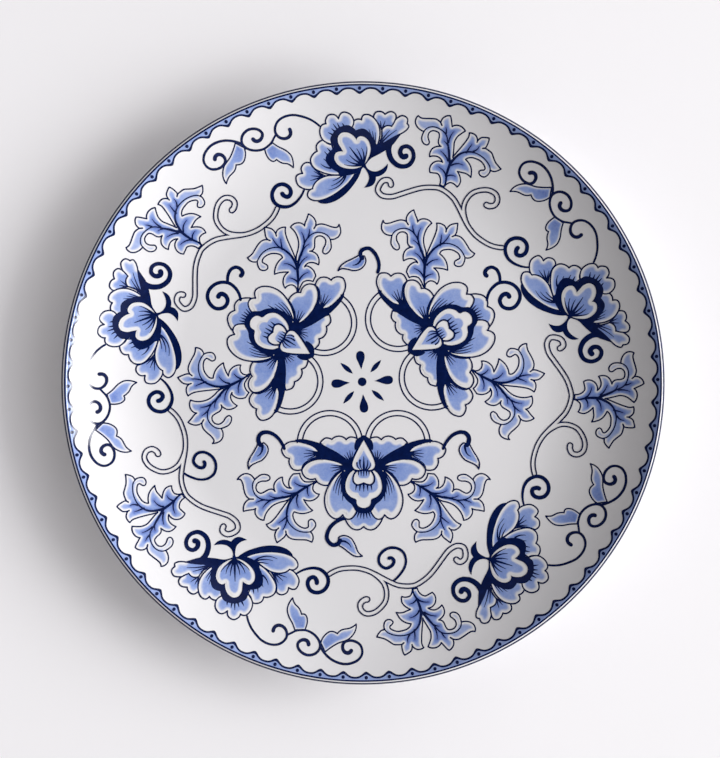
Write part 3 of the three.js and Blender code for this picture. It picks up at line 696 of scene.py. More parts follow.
# ---- The centre's drawings, for the flower that points down ----
def centre_spray():
    return leafy_spray(
        [(-21.1, -44.9, 1), (-21.4, -44.4), (-24, -44.6), (-26.2, -44.4), (-27.8, -42.8),
         (-28.4, -40.8, 1), (-31.2, -41, 1), (-32.8, -43), (-33.3, -45), (-33, -46.8),
         (-32.2, -47.4, 1), (-34.2, -47), (-35.6, -45.5), (-36.2, -42.4, 1), (-38.3, -43.4),
         (-39.8, -45.3), (-40, -47.3), (-39.5, -48.9, 1), (-40.7, -47.9), (-42.3, -48),
         (-44.3, -49.1), (-45.9, -49.7), (-47.4, -48.9), (-48.1, -47.2), (-47.5, -45.3),
         (-45.7, -44.3), (-43.2, -44.1), (-41.9, -43.3), (-42, -42.1), (-43.5, -41.3),
         (-45.5, -41.3), (-47.5, -42.5), (-48.7, -43.6, 1), (-49.8, -42), (-51.5, -41),
         (-53.5, -41), (-55.2, -42), (-56.5, -43.5, 1), (-55, -43.6), (-54, -45.5), (-53.5, -48),
         (-52.8, -50.3), (-51.3, -52), (-49.2, -52.3, 1), (-51.5, -52.6), (-53, -54), (-53.7, -56),
         (-53.7, -57.8, 1), (-51.5, -57.3), (-49.3, -57), (-48.2, -56.5, 1), (-48.5, -58.2),
         (-47.8, -60), (-46.3, -61.3), (-44.5, -61.8, 1), (-43.8, -59.3), (-42.5, -57.2),
         (-40.3, -55.1), (-37.5, -53.8), (-34.5, -53), (-32.5, -51.7, 1), (-34.8, -54.5),
         (-37, -57.5), (-39.5, -60.8), (-41.3, -62.6), (-43.4, -63.7, 1), (-42.3, -65.2),
         (-40.5, -66.2), (-38.8, -66), (-37.9, -65.3, 1), (-39, -66.6), (-39.6, -68.5),
         (-39.2, -70.5), (-38.6, -71.9, 1), (-36.8, -70.6), (-35.2, -69.2), (-34.6, -68),
         (-34.7, -66.7, 1), (-34.3, -68.3), (-33, -69.7), (-31, -70.4), (-28, -70.6),
         (-25.5, -70.7), (-23, -71.7, 1), (-22.4, -70), (-22.7, -68.2), (-23.7, -67, 1),
         (-22.2, -65.8), (-21.2, -63.9), (-22, -62), (-23.3, -61.4), (-24.4, -62.2),
         (-24.5, -63.8), (-24.6, -64.9), (-26, -65.4), (-28, -64.8), (-30, -63.2), (-31.2, -61),
         (-31.5, -59.3), (-30.8, -58, 1), (-29, -58.6), (-26.8, -58.8), (-24.5, -58.3),
         (-22.6, -57.4, 1), (-24, -56.2), (-25.5, -54.3), (-26.6, -52.5, 1), (-25.5, -52.9),
         (-23.8, -53.1), (-21.8, -52.5), (-20.3, -51.3), (-19.6, -50.1, 1), (-21, -49.7),
         (-22.3, -48.4), (-22.5, -46.8), (-21.9, -45.4)],
        [[(-48.7, -43.6), (-49.6, -45.6), (-49.4, -48.2), (-48.3, -50.5), (-46.4, -52),
          (-44, -52.7), (-40, -52.6)], [(-23.7, -67), (-26, -67.2), (-28.5, -66.8), (-31, -65.5),
          (-33, -63.5), (-34, -61.5), (-34.3, -58)]],
        [(-21.2, -44.6), (-25, -46.6), (-29.5, -49.5)],
        [[(-29.5, -49.5), (-33, -51), (-38.5, -52), (-42, -52.8), (-45.5, -52.5)],
         [(-29.5, -49.5), (-31.5, -51.5), (-33.5, -55), (-34.3, -59), (-34.3, -62), (-36, -66.2)]],
        [[(-25.5, -46.5), (-28.5, -46.2), (-30.8, -44.8)],
         [(-30, -49.5), (-34, -49.6), (-36.8, -48.5)],
         [(-36, -51.3), (-39.5, -51.7), (-42, -50.8)],
         [(-44.5, -52.6), (-46.5, -53.2), (-48, -53.9)],
         [(-41.5, -52.9), (-43.5, -54.3), (-45, -56.3)],
         [(-24.8, -46.7), (-25, -48.8), (-24.5, -50.8)],
         [(-29.3, -50.5), (-29.8, -53.2), (-29, -56)], [(-34, -60), (-36, -61.7), (-37.8, -63)]],
    )


def mirrored(points, axis=AXIS):
    """Points reflected in an upright axis, the centre flower's by default, in reverse order."""
    return [(2 * axis - p[0], *p[1:]) for p in reversed(points)]


def whole(half, axis=AXIS):
    """A closed outline from its right half, which starts and ends on the axis."""
    return half + mirrored(half[1:-1], axis)


def centre_blossom():
    """A hooded flower between two wings, with a lipped cup, mirrored about its axis."""
    d = Drawing()

    def both(draw, points, *rest, **options):
        draw(points, *rest, **options)
        draw(mirrored(points), *rest, **options)

    def both_petals(points, base, veins, near, far):
        d.petal(points, base, veins, near, far, PETAL_FADE)
        other = [mirrored(vein)[::-1] for vein in veins]
        d.petal(mirrored(points), mirrored([base])[0], other, near, far, PETAL_FADE)

    def fan(reaches, start, end, rise, widths, spread=(1, 1)):
        """Short lines side by side across the axis, the outer ones ending higher up."""
        for x in reaches:
            tip = (AXIS + spread[1] * x, end + rise * abs(x))
            d.line([(AXIS + spread[0] * x, start), tip], *widths)

    both_petals(
        [(1, -26, 1), (3.5, -25, 1), (4.5, -24.6), (6.5, -24.4), (8.3, -25.6, 1), (9.5, -24.5),
         (11.5, -24), (13.5, -24.5), (14.8, -25.5, 1), (16, -24.9), (17.7, -24.9), (19.2, -26),
         (20, -27, 1), (15.5, -31, 2), (10, -35, 2), (6, -37, 1), (3, -31, 2)],
        (6.2, -36),
        [[(6.2, -36), (5.4, -31)], [(6.2, -36), (6.7, -30.4)], [(6.2, -36), (8, -31.2)],
         [(6.2, -36), (9.3, -32.4)], [(6.4, -36), (10.6, -33.2)]],
        near=0.8, far=2.2,
    )
    both_petals(
        [(20.6, -31.2, 1), (22.5, -29), (26, -27.4), (31.6, -26.3), (35, -27.2), (37.3, -30),
         (36, -33), (33.8, -34, 1), (33.8, -36.6), (32, -39), (28.2, -39.1, 1), (27.5, -36.8, 2),
         (24.5, -34.6), (21, -33.5, 1)],
        (21, -31.6),
        [[(21, -31.3), (26.6, -30.2)], [(21, -31.5), (27.4, -31.8)], [(21, -31.8), (27.2, -33.4)],
         [(21, -32), (25.8, -34.6)]],
        near=0.6, far=1.8,
    )
    d.petal(
        whole([(0.4, -56, 2), (5, -56), (8.8, -61, 1), (7.5, -63.6), (5.3, -65.7), (2.8, -66.1),
               (0.4, -64.7, 1)]),
        (AXIS, -57),
        near=0.8, far=1.6,
    )
    fan([-4.4, -3, -1.5, 0, 1.5, 3, 4.4], -58.4, -61.2, 0.18, PETAL_VEIN, spread=(0.75, 1))
    both_petals(
        [(7, -38.6, 1), (10.5, -39.8), (14, -43), (16.8, -47.5), (18, -52), (17.4, -56.6),
         (15.3, -60), (12.6, -61.2), (9.8, -59.4, 1), (8.4, -61.1), (6.2, -61.2), (3.6, -58, 1),
         (5, -50, 2)],
        (8, -39.5),
        [[(9.5, -40), (12.5, -43.5), (14.1, -48.4)], [(9.2, -40.3), (11.6, -44), (13.1, -49.6)],
         [(9, -40.5), (10.8, -44.5), (11.9, -50.6)], [(10.2, -46), (10.7, -50)],
         [(9.7, -49), (9.9, -53)]],
        near=0.4, far=2.5,
    )
    both_petals(
        [(8.3, -38.3, 1), (11, -36.1), (15, -34.8), (19, -34.3), (23, -34.8), (26.4, -36.6),
         (28.2, -39.3), (27, -42.2), (24.6, -43.4), (22.2, -43.1, 1), (21, -44.9), (18.8, -46),
         (16.4, -46.1, 1), (13.5, -41.5, 2), (10, -39.2)],
        (8.5, -38),
        [[(9, -37.5), (15, -37)], [(9, -37.7), (15.4, -38.3)], [(9, -38), (14.8, -39.8)],
         [(9, -38.2), (13.6, -41)]],
        near=0.3, far=2.1,
    )
    both(
        d.ink,
        [(6, -35.5, 1), (8, -34.3), (12, -31.5), (16, -29.3), (20, -27.3), (24, -26), (28, -25.3),
         (31, -25.6), (32, -26.5, 1), (28.3, -26.9), (25, -27.8), (22.3, -29.3), (20.6, -31.3, 1),
         (22, -33), (24.5, -35, 1), (21, -34.5), (17, -34.6), (13, -35.3), (10, -36.6),
         (8, -38.5, 1)],
    )
    d.ink(whole(
        [(0.4, -36), (8, -38.5, 1), (9.6, -40.8), (10.6, -44), (10.7, -47.5), (9.7, -50.5),
         (8, -53), (5.8, -54.8), (4.5, -57), (3, -58.3), (0.4, -58.8)]
    ))
    d.paper(whole(
        [(0.4, -38), (6, -40, 1), (7.7, -42.5), (8.6, -46), (8.2, -49), (6.2, -51.3), (4, -52.3),
         (3.6, -53, 1), (3.2, -55), (1.8, -56), (0.4, -56.3)]
    ))
    d.wash(
        whole([(0.4, -39), (5.6, -40.8, 1), (7, -44), (7.2, -47.5), (5.6, -49.4), (3.3, -49.9, 1),
               (2.3, -51.6), (0.4, -52.4)]),
        (AXIS, -45), near=0.0, far=0.1, soft=0.8,
    )
    fan([-3.2, -1.6, 0, 1.6, 3.2], -45.5, -48.9, 0.2, (0.95, 0.65, 0.25), spread=(1, 1.15))
    cup = whole(
        [(0.4, -38.5), (3.8, -39.8, 1), (5.1, -42), (5, -44.6), (3.5, -45.9), (1.8, -45.7),
         (0.4, -45.1, 1)]
    )
    d.paper(cup)
    d.wash(
        whole([(0.4, -38.8, 2), (2.8, -39.4, 1), (3.5, -41.5), (2.6, -43.2), (0.4, -43.5)]),
        (AXIS, -39.5), near=0.0, far=0.1, soft=0.9,
    )
    d.line(cup, 0.8, closed=True)
    fan([-2.4, -1.2, 0, 1.2, 2.4], -39.4, -42, 0.2, (0.8, 0.55, 0.25))
    hood = whole(
        [(0.4, -24.8, 1), (2.2, -28), (4.3, -32), (5.7, -35.5), (5.9, -37.3), (4.9, -39),
         (3, -39.6), (0.4, -39.2)]
    )
    both(
        d.ink,
        [(4.5, -38.6, 1), (5.9, -36.2), (7.6, -35.6), (9.5, -37), (8.5, -39.3), (6, -40.2, 1)],
    )
    d.paper(hood)
    d.wash(
        whole([(0.4, -28.6, 1), (1.5, -31.4), (3.2, -34.5), (4.3, -37), (3.6, -38.6), (2.3, -39.2),
               (0.4, -39)]),
        (AXIS, -39), near=0.0, far=0.1, soft=0.8,
    )
    d.line(hood, 0.9, closed=True)
    d.line([(0.4, -39.3), (0.4, -33.2)], 1.2, 0.8, 0.3)
    both(d.line, [(1.1, -39.2), (2, -37.2), (2.1, -34.8)], 0.85, 0.6, 0.25)
    both(d.line, [(1.8, -39.3), (3.2, -37.6), (3.5, -36)], 0.75, 0.5, 0.25)
    both(
        d.ink,
        [(0.4, -23.5, 1), (2.5, -24.7), (4, -26), (4.7, -28.5), (4.4, -30.3, 1), (3.2, -29.5),
         (1.3, -25.8), (0.4, -24.8, 1)],
    )
    return d


HOOP_CENTRE = (15.6, -27.2)
HOOP_LINES = [(14.7, 168, -3), (12.4, 168, 3)]
HOOP_STEPS = 12


def stem_hoop():
    """Two thin lines that arch from the hood's tip to the wing: radius, first and last angle."""
    x, y = HOOP_CENTRE
    d = Drawing()
    for radius, start, end in HOOP_LINES:
        steps = range(HOOP_STEPS + 1)
        turns = [math.radians(start + (end - start) * i / HOOP_STEPS) for i in steps]
        d.line([(x + radius * math.cos(a), y + radius * math.sin(a)) for a in turns], OUTLINE)
    return d


def bud(tendril, widths, leaf, base, vein):
    """A tinted bud with one vein, on a thick tendril."""
    d = Drawing()
    d.petal(leaf, base, near=0.3, far=0.8, soft=0.6)
    d.line(vein, 1.2, 0.8, 0.3)
    d.line(tendril, *widths)
    return d


def side_bud():
    return bud(
        [(-35.3, -29.6), (-36, -28), (-37.6, -25.5), (-40, -23.3), (-43, -22.2), (-45.5, -22.7),
         (-46.9, -24.6), (-46.7, -27), (-46, -28)],
        (1.3, 1.5, 1.7, 1.9, 2.0),
        [(-47.4, -28, 1), (-49, -31), (-50.6, -33.5), (-51.6, -36), (-51.3, -38.8, 1),
         (-50.2, -37.2), (-47.8, -35.9), (-45.4, -34.8), (-43.6, -32.9), (-42.6, -30.5),
         (-42.9, -28.7), (-44.6, -27, 1)],
        (-46, -28),
        [(-45.2, -28), (-45.3, -30.2), (-46.3, -32.2), (-47.6, -33)],
    )


def low_bud():
    return bud(
        [(-8.5, -61), (-12, -62.5), (-15, -65.5), (-16.2, -69.5), (-15, -72), (-13, -73),
         (-11, -72.2), (-10.3, -70.8)],
        (1.6, 1.7, 1.8, 1.9),
        [(-10.9, -69.7, 1), (-9.5, -68.9), (-7.7, -68.8), (-5.2, -70.1), (-3.4, -73), (-2.2, -76),
         (-0.2, -77.9, 1), (-3.2, -78.1), (-6, -76.5), (-8.5, -74.5), (-10.6, -73.3, 1)],
        (-10.6, -71.5),
        [(-10.5, -71.3), (-8, -71.4), (-6.3, -72.5), (-5.3, -74)],
    )


def top_bud():
    return bud(
        [(6.7, 49.8), (7.3, 52.5), (6.8, 55.5), (5.2, 58.5), (3, 60.4), (0.8, 60.3), (-0.8, 59.2),
         (-1.1, 57.5), (-0.2, 56)],
        (1.5, 1.6, 1.7, 1.8),
        [(-2, 57.2, 1), (-4.8, 55.7), (-7.7, 54.3), (-10, 52.5), (-11.1, 50.4, 1), (-9.5, 51.3),
         (-7, 51.1), (-4.3, 50.5), (-1.7, 50.9), (0.3, 52.4), (1.3, 54.5), (0.7, 57, 1)],
        (-0.5, 56.8),
        [(-0.8, 56), (-1.5, 54.3), (-3, 53.2), (-4.6, 52.9)],
    )


def side_spiral():
    """A thick spiral with a short hooked shoot."""
    d = Drawing()
    d.line(
        [(-55, 37.3), (-55.8, 40.3), (-57.5, 42.8), (-60.2, 44.8), (-63.5, 45.2), (-66.8, 44.1),
         (-69.2, 41.6), (-69.9, 38.7), (-68.8, 35.6), (-66.5, 33.6), (-64, 33.4), (-61.8, 34.5),
         (-60.8, 37), (-61.8, 39.2), (-63.7, 40), (-65, 38.8)],
        1.2, 1.5, 1.6, 1.7, 1.7, 2.2,
    )
    d.line(
        [(-60.8, 45.2), (-60.6, 48.5), (-59.3, 51), (-57, 52), (-54.9, 51.1), (-54.1, 49.5),
         (-54.8, 48.2)],
        1.3, 1.5, 1.6, 2.0,
    )
    return d


def disc(radius, corners):
    """A round spot of ink."""
    turns = np.arange(corners) * 2 * math.pi / corners
    return Drawing().ink([(radius * math.cos(a), radius * math.sin(a)) for a in turns])


def rosette_petal(is_drop):
    """One ray of the rosette, pointing up: a drop or a narrow leaf."""
    if is_drop:
        half = [(0, 5.6, 1), (0.8, 7.8), (1.9, 11), (1.5, 13.2), (0, 13.9)]
    else:
        half = [(0, 5.6, 1), (0.9, 8), (0.95, 10), (0, 13, 1)]
    return Drawing().ink(whole(half, axis=0))


# ---- Materials ----
IOR = 1.52


def shader(name, roughness):
    """A node material, its shader, and a texture coordinate that follows the object, in metres."""
    material = bpy.data.materials.new(name)
    material.use_nodes = True
    tree = material.node_tree
    surface = tree.nodes["Principled BSDF"]
    surface.inputs["Roughness"].default_value = roughness
    surface.inputs["IOR"].default_value = IOR
    place = tree.nodes.new("ShaderNodeTexCoord").outputs["Object"]
    return material, tree, surface, place


def noise(tree, place, scale, detail):
    node = tree.nodes.new("ShaderNodeTexNoise")
    node.inputs["Scale"].default_value = scale
    node.inputs["Detail"].default_value = detail
    tree.links.new(place, node.inputs["Vector"])
    return node.outputs["Fac"]


def ramp(tree, value, *stops):
    node = tree.nodes.new("ShaderNodeValToRGB")
    tree.links.new(value, node.inputs["Fac"])
    points = node.color_ramp.elements
    for point, (at, color) in zip([points[0], points[1]], [stops[0], stops[-1]]):
        point.position = at
        point.color = (*color, 1)
    for at, color in stops[1:-1]:
        points.new(at).color = (*color, 1)
    return node.outputs["Color"]


def mixed(tree, amount, first, second):
    node = tree.nodes.new("ShaderNodeMix")
    node.data_type = "RGBA"
    tree.links.new(amount, node.inputs["Factor"])
    tree.links.new(first, node.inputs["A"])
    tree.links.new(second, node.inputs["B"])
    return node.outputs["Result"]


def times(tree, first, second):
    node = tree.nodes.new("ShaderNodeMath")
    node.operation = "MULTIPLY"
    tree.links.new(first, node.inputs[0])
    tree.links.new(second, node.inputs[1])
    return node.outputs[0]


def stepped(tree, value, low, high, start=0.0, end=1.0):
    """A value that goes smoothly from `start` to `end` as another goes from `low` to `high`."""
    node = tree.nodes.new("ShaderNodeMapRange")
    node.interpolation_type = "SMOOTHSTEP"
    limits = {"From Min": low, "From Max": high, "To Min": start, "To Max": end}
    for socket, number in limits.items():
        node.inputs[socket].default_value = number
    tree.links.new(value, node.inputs["Value"])
    return node.outputs["Result"]


def bump(tree, surface, height, distance):
    node = tree.nodes.new("ShaderNodeBump")
    node.inputs["Distance"].default_value = distance
    tree.links.new(height, node.inputs["Height"])
    tree.links.new(node.outputs["Normal"], surface.inputs["Normal"])


# Each stop is a place on a noise's range and the colour or amount there.
WHITE_STOPS = [(0.3, (0.69, 0.69, 0.705)), (0.7, (0.72, 0.715, 0.73))]
NAVY_STOPS = [
    (0.25, (0.0010, 0.005, 0.037)), (0.6, (0.0016, 0.008, 0.058)), (0.85, (0.004, 0.0155, 0.095)),
]
WASH_STOPS = [
    (0.25, (0.155, 0.245, 0.555)), (0.5, (0.19, 0.285, 0.60)), (0.8, (0.25, 0.345, 0.645)),
]
DEEP_STOPS = [(0.25, (0.05, 0.09, 0.35)), (0.75, (0.07, 0.12, 0.41))]
COVER_STOPS = [(0.25, (0.86,) * 3), (0.65, (1.0,) * 3)]
WEAR_STOPS = [(0.35, (0.045,) * 3), (0.75, (0.085,) * 3)]
BISQUE_STOPS = [(0.3, (0.66, 0.64, 0.59)), (0.7, (0.78, 0.76, 0.71))]
TABLE_STOPS = [(0.3, (0.86, 0.853, 0.872)), (0.7, (0.88, 0.873, 0.892))]
# Each noise is its scale, in waves to the metre, and its detail.
GLAZE_WAVE = (38.0, 1.5)
WHITE_CLOUD = (22.0, 3.0)
WEAR = (210.0, 3.0)
INK_GRAIN = (420.0, 5.0)
WASH_CLOUD = (300.0, 4.0)
WASH_SPECKLE = (1100.0, 4.0)
GRIT = (900.0, 6.0)
TABLE_CLOUD = (3.0, 3.0)
# Heights of the bumps, in metres.
WAVE_HEIGHT, GRIT_HEIGHT = 0.00012, 0.00025
GLAZE_ROUGHNESS, BISQUE_ROUGHNESS, TABLE_ROUGHNESS = 0.06, 0.75, 0.7
FULL_TINT, DEEP_TINT = 1.2, (1.0, 2.0)


def glossy(tree, surface, place):
    """The glaze's slight waviness and wear, the same over the white and the prints."""
    bump(tree, surface, noise(tree, place, *GLAZE_WAVE), WAVE_HEIGHT)
    worn = ramp(tree, noise(tree, place, *WEAR), *WEAR_STOPS)
    tree.links.new(worn, surface.inputs["Roughness"])


def plain_material(name, roughness, grain, stops):
    """A material of one noisy colour, with its tree, shader, place and noise for what follows."""
    material, tree, surface, place = shader(name, roughness)
    value = noise(tree, place, *grain)
    tree.links.new(ramp(tree, value, *stops), surface.inputs["Base Color"])
    return material, tree, surface, place, value


def glazed_material(name, grain, stops):
    material, *glaze, _ = plain_material(name, GLAZE_ROUGHNESS, grain, stops)
    glossy(*glaze)
    return material


def bisque_material():
    material, tree, surface, _, grit = plain_material(
        "bare_porcelain", BISQUE_ROUGHNESS, GRIT, BISQUE_STOPS
    )
    bump(tree, surface, grit, GRIT_HEIGHT)
    return material


def wash_material():
    """Blank glaze where the tint is 0, through a speckled pale blue, to a deeper blue."""
    material, tree, surface, place = shader("pale_blue_wash", GLAZE_ROUGHNESS)
    white = ramp(tree, noise(tree, place, *WHITE_CLOUD), *WHITE_STOPS)
    blue = ramp(tree, noise(tree, place, *WASH_CLOUD), *WASH_STOPS)
    depth = tree.nodes.new("ShaderNodeAttribute")
    depth.attribute_name = "tint"
    cover = ramp(tree, noise(tree, place, *WASH_SPECKLE), *COVER_STOPS)
    amount = times(tree, stepped(tree, depth.outputs["Fac"], 0.0, FULL_TINT), cover)
    deepest = ramp(tree, noise(tree, place, *WASH_CLOUD), *DEEP_STOPS)
    shade = mixed(tree, stepped(tree, depth.outputs["Fac"], *DEEP_TINT), blue, deepest)
    tree.links.new(mixed(tree, amount, white, shade), surface.inputs["Base Color"])
    glossy(tree, surface, place)
    return material


GLAZE = glazed_material("clear_glaze", WHITE_CLOUD, WHITE_STOPS)
NAVY = glazed_material("navy_ink", INK_GRAIN, NAVY_STOPS)
WASH = wash_material()
BISQUE = bisque_material()


def keep(thing, material, slot, node):
    """A finished piece: its material and the CAD node it shows; `slot`, its finish, is not used.
    """
    thing.data.materials.append(material)
    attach(thing, "root")
    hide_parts(node)


# ---- The plate ----
BODY_SEGMENTS, FACE_SEGMENTS, WELL_SEGMENTS = 256, 512, 384
FLAT_STEPS, FACE_STEPS, LIP_STEPS = 8, 56, 22
BACK_STEPS, FOOT_STEPS, BARE_FOOT_STEPS = 48, 10, 7
FILLET = FOOT_HEIGHT - BARE_FOOT_HEIGHT


def arc(centre, radius, start, end, count):
    """Points of an arc in a section, with angles in radians from the outward direction."""
    angles = np.linspace(start, end, count)
    return [(centre[0] + radius * math.cos(a), centre[1] + radius * math.sin(a)) for a in angles]


def outer_path(inset):
    """The glazed skin from the face's centre over the lip to the foot, `inset` deep."""
    down, up = -math.pi / 2, math.pi / 2
    tilt = down + WALL_ANGLE
    floor = [(FACE_START * i / FLAT_STEPS, FLOOR_TOP - inset) for i in range(FLAT_STEPS)]
    face = arc((FACE_START, FLOOR_TOP + FACE_ARC), FACE_ARC + inset, down, tilt, FACE_STEPS)
    lip = arc((LIP_R, LIP_Z), LIP_RADIUS - inset, up + WALL_ANGLE, tilt, LIP_STEPS)
    back = arc((BACK_START, FOOT_HEIGHT + BACK_ARC), BACK_ARC - inset, tilt, down, BACK_STEPS)
    foot_centre = (FOOT_OUTER_RADIUS + FILLET, BARE_FOOT_HEIGHT)
    foot = arc(foot_centre, FILLET + inset, up, math.pi, FOOT_STEPS)
    return floor + face + lip[1:] + back[1:-1] + foot


def well_path(inset):
    """The glazed skin inside the foot ring, from the foot to the centre, `inset` deep."""
    reach = FOOT_INNER_RADIUS - FILLET
    foot = arc((reach, BARE_FOOT_HEIGHT), FILLET + inset, 0, math.pi / 2, FOOT_STEPS)
    flat = [(reach * i / FLAT_STEPS, FOOT_HEIGHT + inset) for i in reversed(range(FLAT_STEPS))]
    return foot + flat


def bare_foot():
    """The foot's unglazed edge, rounded off to the flat that the plate stands on."""
    soft, down = BARE_FOOT_HEIGHT, -math.pi / 2
    outer_centre = (FOOT_OUTER_RADIUS - soft - BARE_FOOT_INSET, soft)
    inner_centre = (FOOT_INNER_RADIUS + soft + BARE_FOOT_INSET, soft)
    outer = arc(outer_centre, soft, 0, down, BARE_FOOT_STEPS)
    return outer + arc(inner_centre, soft, down, -math.pi, BARE_FOOT_STEPS)


def add_plate():
    seat = GLAZE_THICKNESS + GLAZE_SEAT
    body = outer_path(seat) + bare_foot() + well_path(seat)
    skin = outer_path(0) + outer_path(GLAZE_THICKNESS)[::-1]
    well = well_path(GLAZE_THICKNESS) + well_path(0)[::-1]
    for node, section, segments, material, slot in [
        ("porcelain_body", body, BODY_SEGMENTS, BISQUE, "porcelain"),
        ("outer_glaze", skin, FACE_SEGMENTS, GLAZE, "glaze"),
        ("foot_well_glaze", well, WELL_SEGMENTS, GLAZE, "glaze"),
    ]:
        keep(turned_object(f"{node}_fine", section, segments), material, slot, node)


# ---- Rim prints, with painted shade along the lip's outer edge ----
RING_STEPS = SCALLOPS * 20
NAVY_RING = (131.45, 132.15)
# The lip's edge band, partly an edge line of print and partly painted shade of the plate's dark
# outline: its angles on the lip and its steps.
EDGE_ANGLES = (math.radians(-20), math.radians(62))
EDGE_STEPS = 8
DOT_RADIUS, DOT_CORNERS, DOT_RING, DOT_LIFT = 0.75, 8, 130.5, 0.12
SCALLOP_LINE, SCALLOP_CUSP_LINE = 0.8, 1.2
SCALLOP_MIDDLE, SCALLOP_BOW = 130.55, 0.35
CUSP_DEPTH, CUSP_WIDTH = 1.6, 2.3


def ring_patch(inner, outer, rows):
    """A ring between two radii, each a number or one value per step of the ring."""
    angles = np.linspace(0, 2 * math.pi, RING_STEPS, endpoint=False)
    shares = np.linspace(0, 1, rows + 1)[:, None]
    radii = inner + (outer - inner) * shares + np.zeros(RING_STEPS)
    corners = np.column_stack([(radii * np.cos(angles)).ravel(), (radii * np.sin(angles)).ravel()])
    here = np.arange(RING_STEPS)
    after = (here + 1) % RING_STEPS
    quads = []
    for row in range(rows):
        low, high = row * RING_STEPS, (row + 1) * RING_STEPS
        quads.append(np.column_stack([here + low, here + high, after + high]))
        quads.append(np.column_stack([here + low, after + high, after + low]))
    return corners, np.vstack(quads), np.ones(len(corners))


def scallop_line():
    """The scalloped line's radius and width at each step: shallow arcs that meet in points."""
    angles = np.linspace(0, 360, RING_STEPS, endpoint=False)
    pitch = 360 / SCALLOPS
    off_cusp = np.abs((angles - 90 - SCALLOP_TURN + pitch / 2) % pitch - pitch / 2)
    cusp = np.exp(-((np.radians(off_cusp) * SCALLOP_MIDDLE / CUSP_WIDTH) ** 2))
    bow = SCALLOP_BOW * (1 - 2 * off_cusp / pitch) ** 2
    width = SCALLOP_LINE + (SCALLOP_CUSP_LINE - SCALLOP_LINE) * cusp
    return SCALLOP_MIDDLE - bow - CUSP_DEPTH * cusp, width


def add_rim():
    # A navy band round the lip's outermost edge: partly an edge line of print, partly painted
    # shade, the plate's dark outline seen from above.
    edge = arc((LIP_R, LIP_Z), LIP_RADIUS + INK_LOW, *EDGE_ANGLES, EDGE_STEPS)
    edge += arc((LIP_R, LIP_Z), LIP_RADIUS + INK_HIGH, *EDGE_ANGLES[::-1], EDGE_STEPS)
    line = turned_object("rim_edge_print_and_shade_fine", edge[::-1], FACE_SEGMENTS)
    keep(line, NAVY, "navy_print", "rim_edge_line")
    wave, width = scallop_line()
    dot = disc(DOT_RADIUS, DOT_CORNERS).patches()[0]
    dots = []
    for i in range(SCALLOPS):
        angle = math.radians(90 + SCALLOP_TURN + 360 * i / SCALLOPS)
        dots.append(placed(dot, to=(DOT_RING * math.cos(angle), DOT_RING * math.sin(angle))))
    band = ring_patch(wave + width / 2, NAVY_RING[0], 4)
    scallops = ring_patch(wave - width / 2, wave + width / 2, 1)
    for name, patch, lift, material, slot in [
        ("rim_navy_ring", ring_patch(*NAVY_RING, 3), 0.0, NAVY, "navy_print"),
        ("rim_blue_band", band, 0.0, WASH, "blue_print"),
        ("rim_scallop_line", scallops, 0.0, NAVY, "navy_print"),
        ("rim_dots", joined(dots), DOT_LIFT, NAVY, "navy_print"),
    ]:
        keep(slab(name, patch, lift), material, slot, "rim_scallop_band")


# ---- Prints on the floor and the wall ----
def add_print(node, patches, lift=0.0, **where):
    """A drawing's ink and wash as two pieces, both standing for one CAD node."""
    ink, wash = patches
    keep(slab(f"{node}_line", placed(ink, **where), lift), NAVY, "navy_print", node)
    if wash is not None:
        keep(slab(f"{node}_tint", placed(wash, **where), lift), WASH, "blue_print", node)


def add_rosette():
    dot = disc(CENTRE_DOT_RADIUS, CENTRE_DOT_CORNERS)
    add_print("centre_dot", dot.patches(), to=ROSETTE_CENTRE)
    rays = [rosette_petal(True).patches(), rosette_petal(False).patches()]
    for i in range(ROSETTE_RAYS):
        turn = ROSETTE_TURN + 360 / ROSETTE_RAYS * i
        add_print(f"rosette_petal_{i + 1}", rays[i % 2], turn=turn, to=ROSETTE_CENTRE)


def add_centre():
    blossom = centre_blossom().patches()
    pairs = {"centre_spray": centre_spray().patches(), "stem_hoop": stem_hoop().patches()}
    for i, (tip, turn) in enumerate(CENTRE_PLACES):
        place = {"origin": TIP, "to": tip, "turn": turn}
        add_print(f"centre_blossom_{i + 1}", blossom, BLOSSOM_LIFT, **place)
        for name, patches in pairs.items():
            add_print(f"{name}_{2 * i + 1}", patches, mirror=True, **place)
            add_print(f"{name}_{2 * i + 2}", patches, **place)
    side, spiral = side_bud().patches(), side_spiral().patches()
    across = {"origin": (AXIS, 0), "to": (AXIS, 0), "mirror": True}
    add_print("bud_left", side, TENDRIL_LIFT)
    add_print("bud_right", side, TENDRIL_LIFT, **across)
    add_print("bud_low", low_bud().patches(), TENDRIL_LIFT)
    add_print("bud_top", top_bud().patches(), TENDRIL_LIFT)
    add_print("side_spiral_left", spiral)
    add_print("side_spiral_right", spiral, **across)


def add_border():
    blossom, vine = border_blossom().patches(), border_vine().patches()
    spray = border_spray().patches()
    plain, scrolled = border_ribbon(False).patches(), border_ribbon(True).patches()
    for i in range(BORDER_REPEATS):
        ribbon = scrolled if i in SCROLLED_REPEATS else plain
        for name, patches, lift in [
            ("border_blossom", blossom, BLOSSOM_LIFT),
            ("border_spray", spray, 0.0),
            ("border_vine", vine, 0.0),
            ("border_ribbon", ribbon, TENDRIL_LIFT),
        ]:
            add_print(f"{name}_{i + 1}", patches, lift, turn=360 / BORDER_REPEATS * i)


# ---- Table, light and camera ----
TABLE_REACH, TABLE_SQUARES = 4000, 8
ROOM_LIGHT, ROOM_SLANT, ROOM_IN_GLAZE = 0.96, 0.84, 0.22
ROOM_LEFT, ROOM_RIGHT = (1.0, 0.955, 0.94), (0.985, 0.975, 1.0)
CEILING_FROM, CEILING_TO, CEILING_LIGHT = 0.7, 0.95, 0.12
